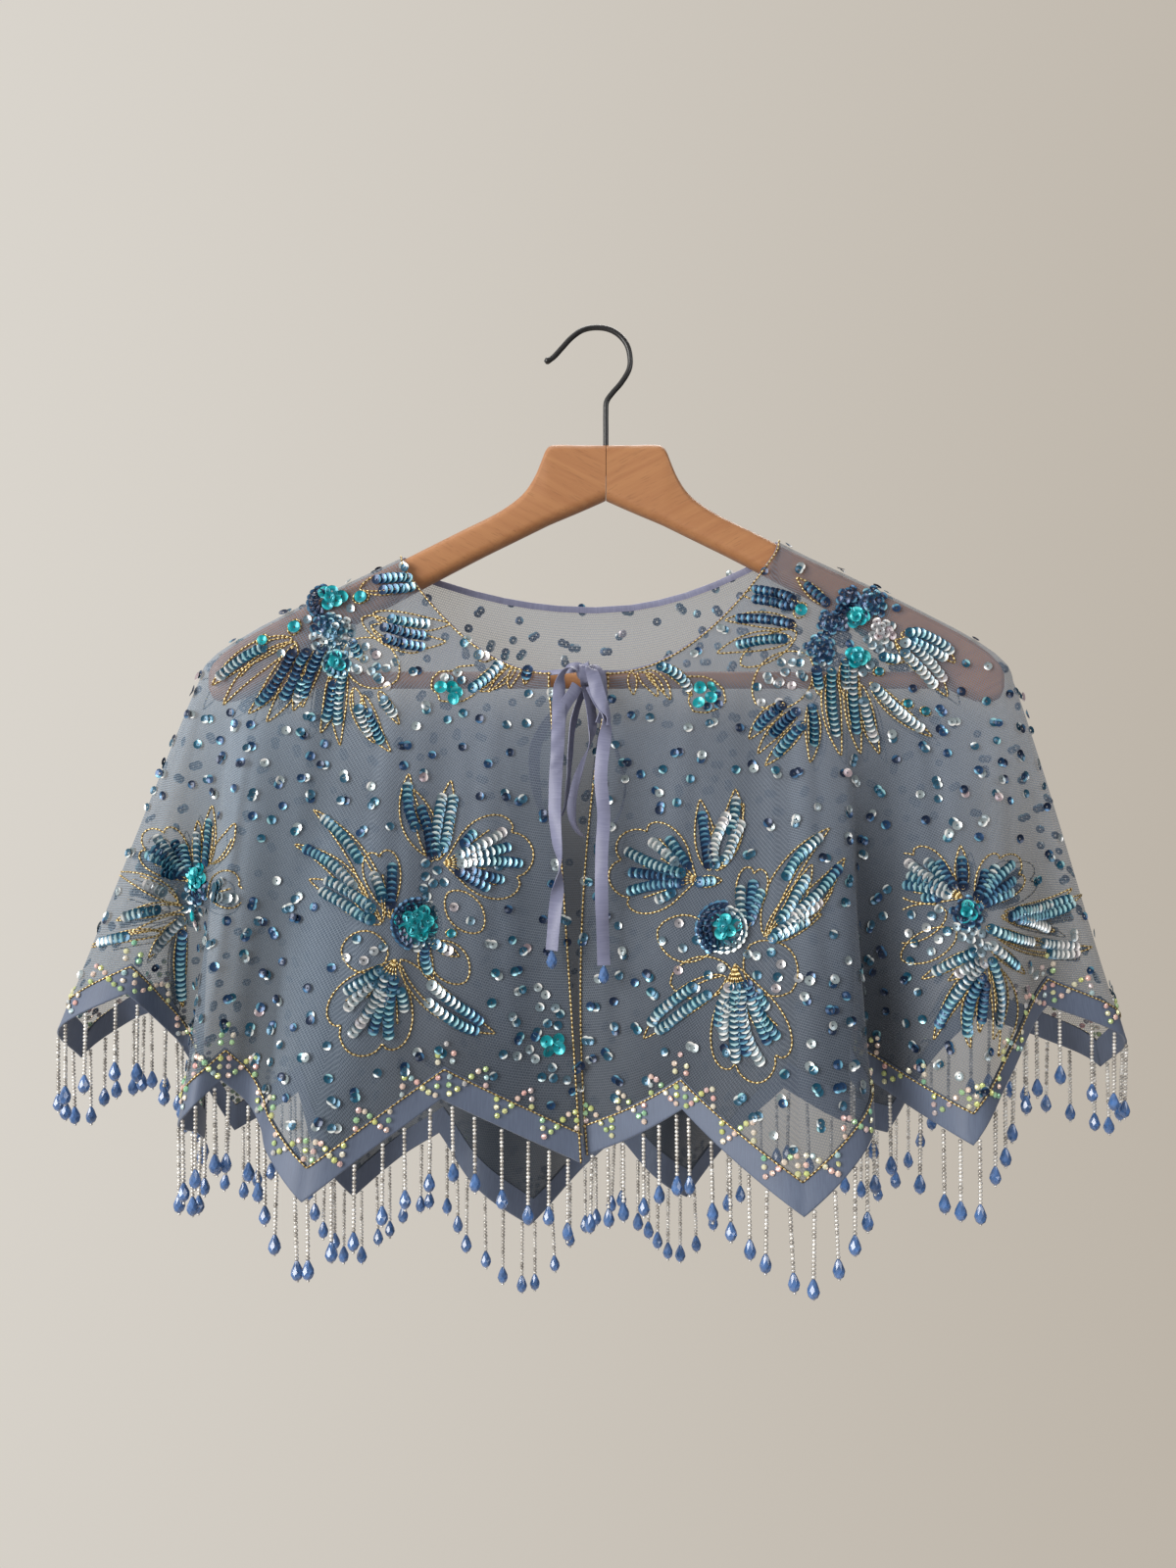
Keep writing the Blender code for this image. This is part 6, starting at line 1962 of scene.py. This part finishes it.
# Each flower's detail on the front: its corner in the photograph, how far it is enlarged
# and its turns. On the back: its turns, and where it sits, as x and z of its middle and
# the pixel that goes there
FLOWERS = table(
    "sew corner scale turns back_turns back_place",
    (left_front_flower, (290, 780), 4.9, (0.0, 1.6), (3.0, 6.4), (-104, -331, 665, 795)),
    (right_front_flower, (620, 780), 4.612, (10.4, 12.0), (6.0, 9.0), (75, -333, 545, 770)),
    (left_shoulder_spray, (180, 560), 5.227, (0.3, 3.0), (3.0, 4.7), (-152, -170, 845, 450)),
    (right_shoulder_spray, (690, 560), 5.058, (9.0, 11.7), (7.3, 9.0), (142, -168, 850, 400)),
    (left_side_flower, (90, 820), 6.533, (1.5, 3.0), (3.0, 4.6), (-226, -308, 740, 500)),
    (right_side_flower, (880, 820), 5.807, (9.0, 10.3), (7.4, 9.0), (216, -325, 620, 640)),
)


def sew_flowers():
    """Every flower and spray, on the front as in the photograph and on the back as guessed."""
    for row in FLOWERS:
        row.sew(Hoop(row.corner, row.scale, row.turns))
    neck_sprays(Hoop((400, 540), 3.92, (0.0, 1.2)), Hoop((400, 540), 3.92, (10.8, 12.0)))
    low_flower(Hoop((180, 960), 2.045, (0.0, 1.4)))
    for row in FLOWERS:
        row.sew(Hoop((0, 0), row.scale, row.back_turns, row.back_place))


# Single sequins strewn over the cloth, hem and fringe

STREWN_PER_AREA = 0.0025
STREWN_APART = 8.5
OFF_FLOWERS = 5.5
STREWN_ABOVE_HEM = 24.0
SHOULDER_LEVEL = -208.0
LEFT_OUT_ON_SHOULDERS = 0.45
PAIRS = 0.55
SCATTER_TINTS = table(
    "tint share",
    (NAVY, 0.2), (BLUE, 0.22), (TEAL, 0.14), (SILVER, 0.24), (CLEAR, 0.17), (PINK, 0.03),
)
TINTS, SHARES = zip(*SCATTER_TINTS)
# Stones of one letter-like group, as steps along the hem and up from the cord
RISING_GROUP = table(
    "along up",
    (-10.0, 2.2), (-10.2, 6.2), (-9.6, 10.2), (-5.6, 7.4), (-2.0, 3.2),
    (1.6, -1.8), (5.2, -6.0), (9.2, -10.0), (9.8, -6.0), (9.8, -2.0),
)
NOTCH_ARCH = table("along up", (-4.0, 6.0), (-4.4, 10.0), (0.0, 12.6), (4.4, 10.0), (4.0, 6.0))
GROUPS_PER_HALF = 3


def nearest_distance(places, place):
    return np.min(np.linalg.norm(places - place, axis=1))


def strew_sequins():
    """Single sequins and pairs strewn over the cloth between the flowers."""
    for name, panel in PANELS.items():
        rows = panel.points.shape[1]
        along = np.linalg.norm(np.diff(panel.points, axis=0), axis=2)[:, :-1]
        down = np.linalg.norm(np.diff(panel.points, axis=1), axis=2)[:-1]
        area = along * down
        area[panel.heights[:-1, :-1] < STREWN_ABOVE_HEM] = 0.0
        taken = [s.place for s in SMALL_SEQUINS[name] + BIG_SEQUINS[name]]
        taken = np.array(taken + [p for run in CORDS[name] for p in run[::3]])
        kept = np.zeros((0, 3))
        wanted = int(area.sum() * STREWN_PER_AREA)
        for cell in chance.choice(area.size, size=wanted * 5, p=area.ravel() / area.sum()):
            if len(kept) >= wanted:
                break
            i, j = divmod(int(cell), rows - 1)
            u, v = chance.random(), chance.random()
            turn = panel.turns[i] + u * (panel.turns[i + 1] - panel.turns[i])
            place, normal = on_panel(panel, turn, j + v)
            on_shoulder = place[2] > SHOULDER_LEVEL and place[1] < 0.0
            if on_shoulder and chance.random() < LEFT_OUT_ON_SHOULDERS:
                continue
            if len(kept) and nearest_distance(kept, place) < STREWN_APART:
                continue
            if nearest_distance(taken, place) < OFF_FLOWERS:
                continue
            kept = np.vstack((kept, place))
            count = 2 if chance.random() < PAIRS else 1
            side = unit(np.cross(normal, chance.normal(size=3)))
            for k in range(count):
                tint = float(chance.choice(TINTS, p=SHARES))
                lean = unit(normal + 0.1 * chance.normal(size=3))
                spot = place + normal * (0.9 + 0.5 * k) + side * 2.5 * k
                across = unit(np.cross(lean, side))
                SMALL_SEQUINS[name].append(Sewn(spot, lean, across, chance.uniform(0.9, 1.05), tint))


def hem_cord_height(turn):
    """How far above the hem the cord's zigzag runs: less over the notches than the tips."""
    return 15.5 - 2.0 * abs(turn - round(turn))


def stone_spot(panel, turn, height, lift):
    place, normal = above_hem(panel, turn, height, lift)
    lean, along = leaning(normal, 0.18)
    return Sewn(place, lean, along, chance.uniform(0.92, 1.06), chance.random())


def hem_stones(panel):
    """Zigzag groups of stones across the cord, with a small arch over each notch."""
    spots = []
    first, last = panel.turns[0], panel.turns[-1]
    for half in range(int(round((last - first) * 2))):
        way = -1.0 if half % 2 else 1.0
        for group in range(GROUPS_PER_HALF):
            centre = first + 0.5 * half + 0.5 * (group + 0.5) / GROUPS_PER_HALF
            for stone in RISING_GROUP:
                turn = centre + way * stone.along / POINT_PITCH
                if first + 0.01 < turn < last - 0.01:
                    height = hem_cord_height(turn) + stone.up
                    spots.append(stone_spot(panel, turn, height, 1.0 if height < BAND_HEIGHT else 0.6))
    for notch in np.arange(first + 0.5, last, 1.0):
        for stone in NOTCH_ARCH:
            turn = notch + stone.along / POINT_PITCH
            spots.append(stone_spot(panel, turn, hem_cord_height(turn) + stone.up, 0.6))
    return spots


def fringe(panel):
    """Strands of seed beads from the hem's edge, each ending in a glass drop."""
    first, last = panel.turns[0], panel.turns[-1]
    seeds, drops = [], []
    for k in range(int(round((last - first) * STRANDS_PER_POINT))):
        turn = first + (k + 0.5 + chance.uniform(-0.22, 0.22)) / STRANDS_PER_POINT
        root, _ = above_hem(panel, turn, 0.0)
        way = unit((*chance.normal(size=2) * 0.018, -1.0))
        beads = int(round(chance.uniform(29.5, 33.5) / SEED_PITCH))
        for n in range(beads):
            place = root + way * (SEED_START + SEED_PITCH * (n + 0.5))
            size = chance.uniform(0.93, 1.05)
            along = unit(np.cross(way, (chance.random(), 1.0, 0.0)))
            seeds.append(Sewn(place, way, along, size, chance.random()))
        top = root + way * (SEED_START + SEED_PITCH * beads)
        spin = chance.uniform(0, FULL_TURN)
        along = (math.cos(spin), math.sin(spin), 0.0)
        drops.append(Sewn(top, -way, along, chance.uniform(0.95, 1.03), chance.random()))
        seeds.append(Sewn(top + way * (DROP_LENGTH + 0.3), way, ACROSS, 0.72, 0.5))
    return seeds, drops


# Each panel with all that is sewn to it


def panel_area(panel):
    """Area of the cloth in square metres."""
    a = panel.points[:-1, :-1]
    b = panel.points[1:, :-1]
    c = panel.points[:-1, 1:]
    return float(np.linalg.norm(np.cross(b - a, c - a), axis=2).sum()) * MM * MM


def dress_panel(name):
    panel, row = PANELS[name], PANEL_ROWS[name]
    shell = tulle_shell(panel)
    parts = [hem_band(panel)]
    hem_line = [above_hem(panel, t, hem_cord_height(t), 1.1)[0] for t in panel.turns]
    parts.append(belongs(lay_cord("gold_cord_" + name, CORDS[name] + [hem_line], CORD_RADIUS, GOLD)))
    parts.append(belongs(sew_on("sequins_" + name, SMALL_SEQUINS[name], SEQUIN_SHAPE, SEQUINS)))
    big = sew_on("turquoise_sequins_" + name, BIG_SEQUINS[name], BIG_SEQUIN_SHAPE, TURQUOISE)
    stones = sew_on("hem_stones_" + name, hem_stones(panel), STONE_SHAPE, STONES)
    parts += [belongs(big), belongs(stones)]
    seeds, drops = fringe(panel)
    strands = sew_on("bead_strands_" + name, seeds, SEED_SHAPE, SEEDS)
    hung = sew_on("glass_drops_" + name, drops, DROP_SHAPE, DROPS)
    parts += [belongs(piece, "fringe_" + name) for piece in (strands, hung)]
    panel_area(panel)


def edge_cords():
    """Gold cord down both front edges and along the front of the neckline."""
    left, right = PANELS["front_left"], PANELS["front_right"]
    lines = []
    for panel, turn in ((left, 0.012), (right, 11.988)):
        lines.append([on_panel(panel, turn, j, 0.8)[0] for j in range(panel.points.shape[1])])
    for panel, first in ((left, 0.0), (right, 11.0)):
        lines.append([on_panel(panel, t, 1.2, 0.9)[0] for t in np.linspace(first, first + 1.0, 60)])
    belongs(lay_cord("gold_edge_cord", lines, EDGE_CORD_RADIUS, GOLD))


set_camera()
tie_tail("left", TAIL_LEFT)
tie_tail("right", TAIL_RIGHT)
set_world()
set_lights()
set_floor()
hanger_half("wood_half_left", -1.0, "hanger_half_left", BEECH_LEFT)
hanger_half("wood_half_right", 1.0, "hanger_half_right", BEECH_RIGHT)
hanger_bar()
hanger_hook()
ribbon_piece("ribbon_loop_left", LOOP_LEFT, "tie_loop_left")
ribbon_piece("ribbon_loop_right", LOOP_RIGHT, "tie_loop_right")
tie_knot()
neck_binding()
sew_flowers()
strew_sequins()
for panel_name in PANELS:
    dress_panel(panel_name)
edge_cords()
for shape in (SEQUIN_SHAPE, BIG_SEQUIN_SHAPE, STONE_SHAPE, SEED_SHAPE, DROP_SHAPE):
    bpy.data.objects.remove(shape, do_unlink=True)
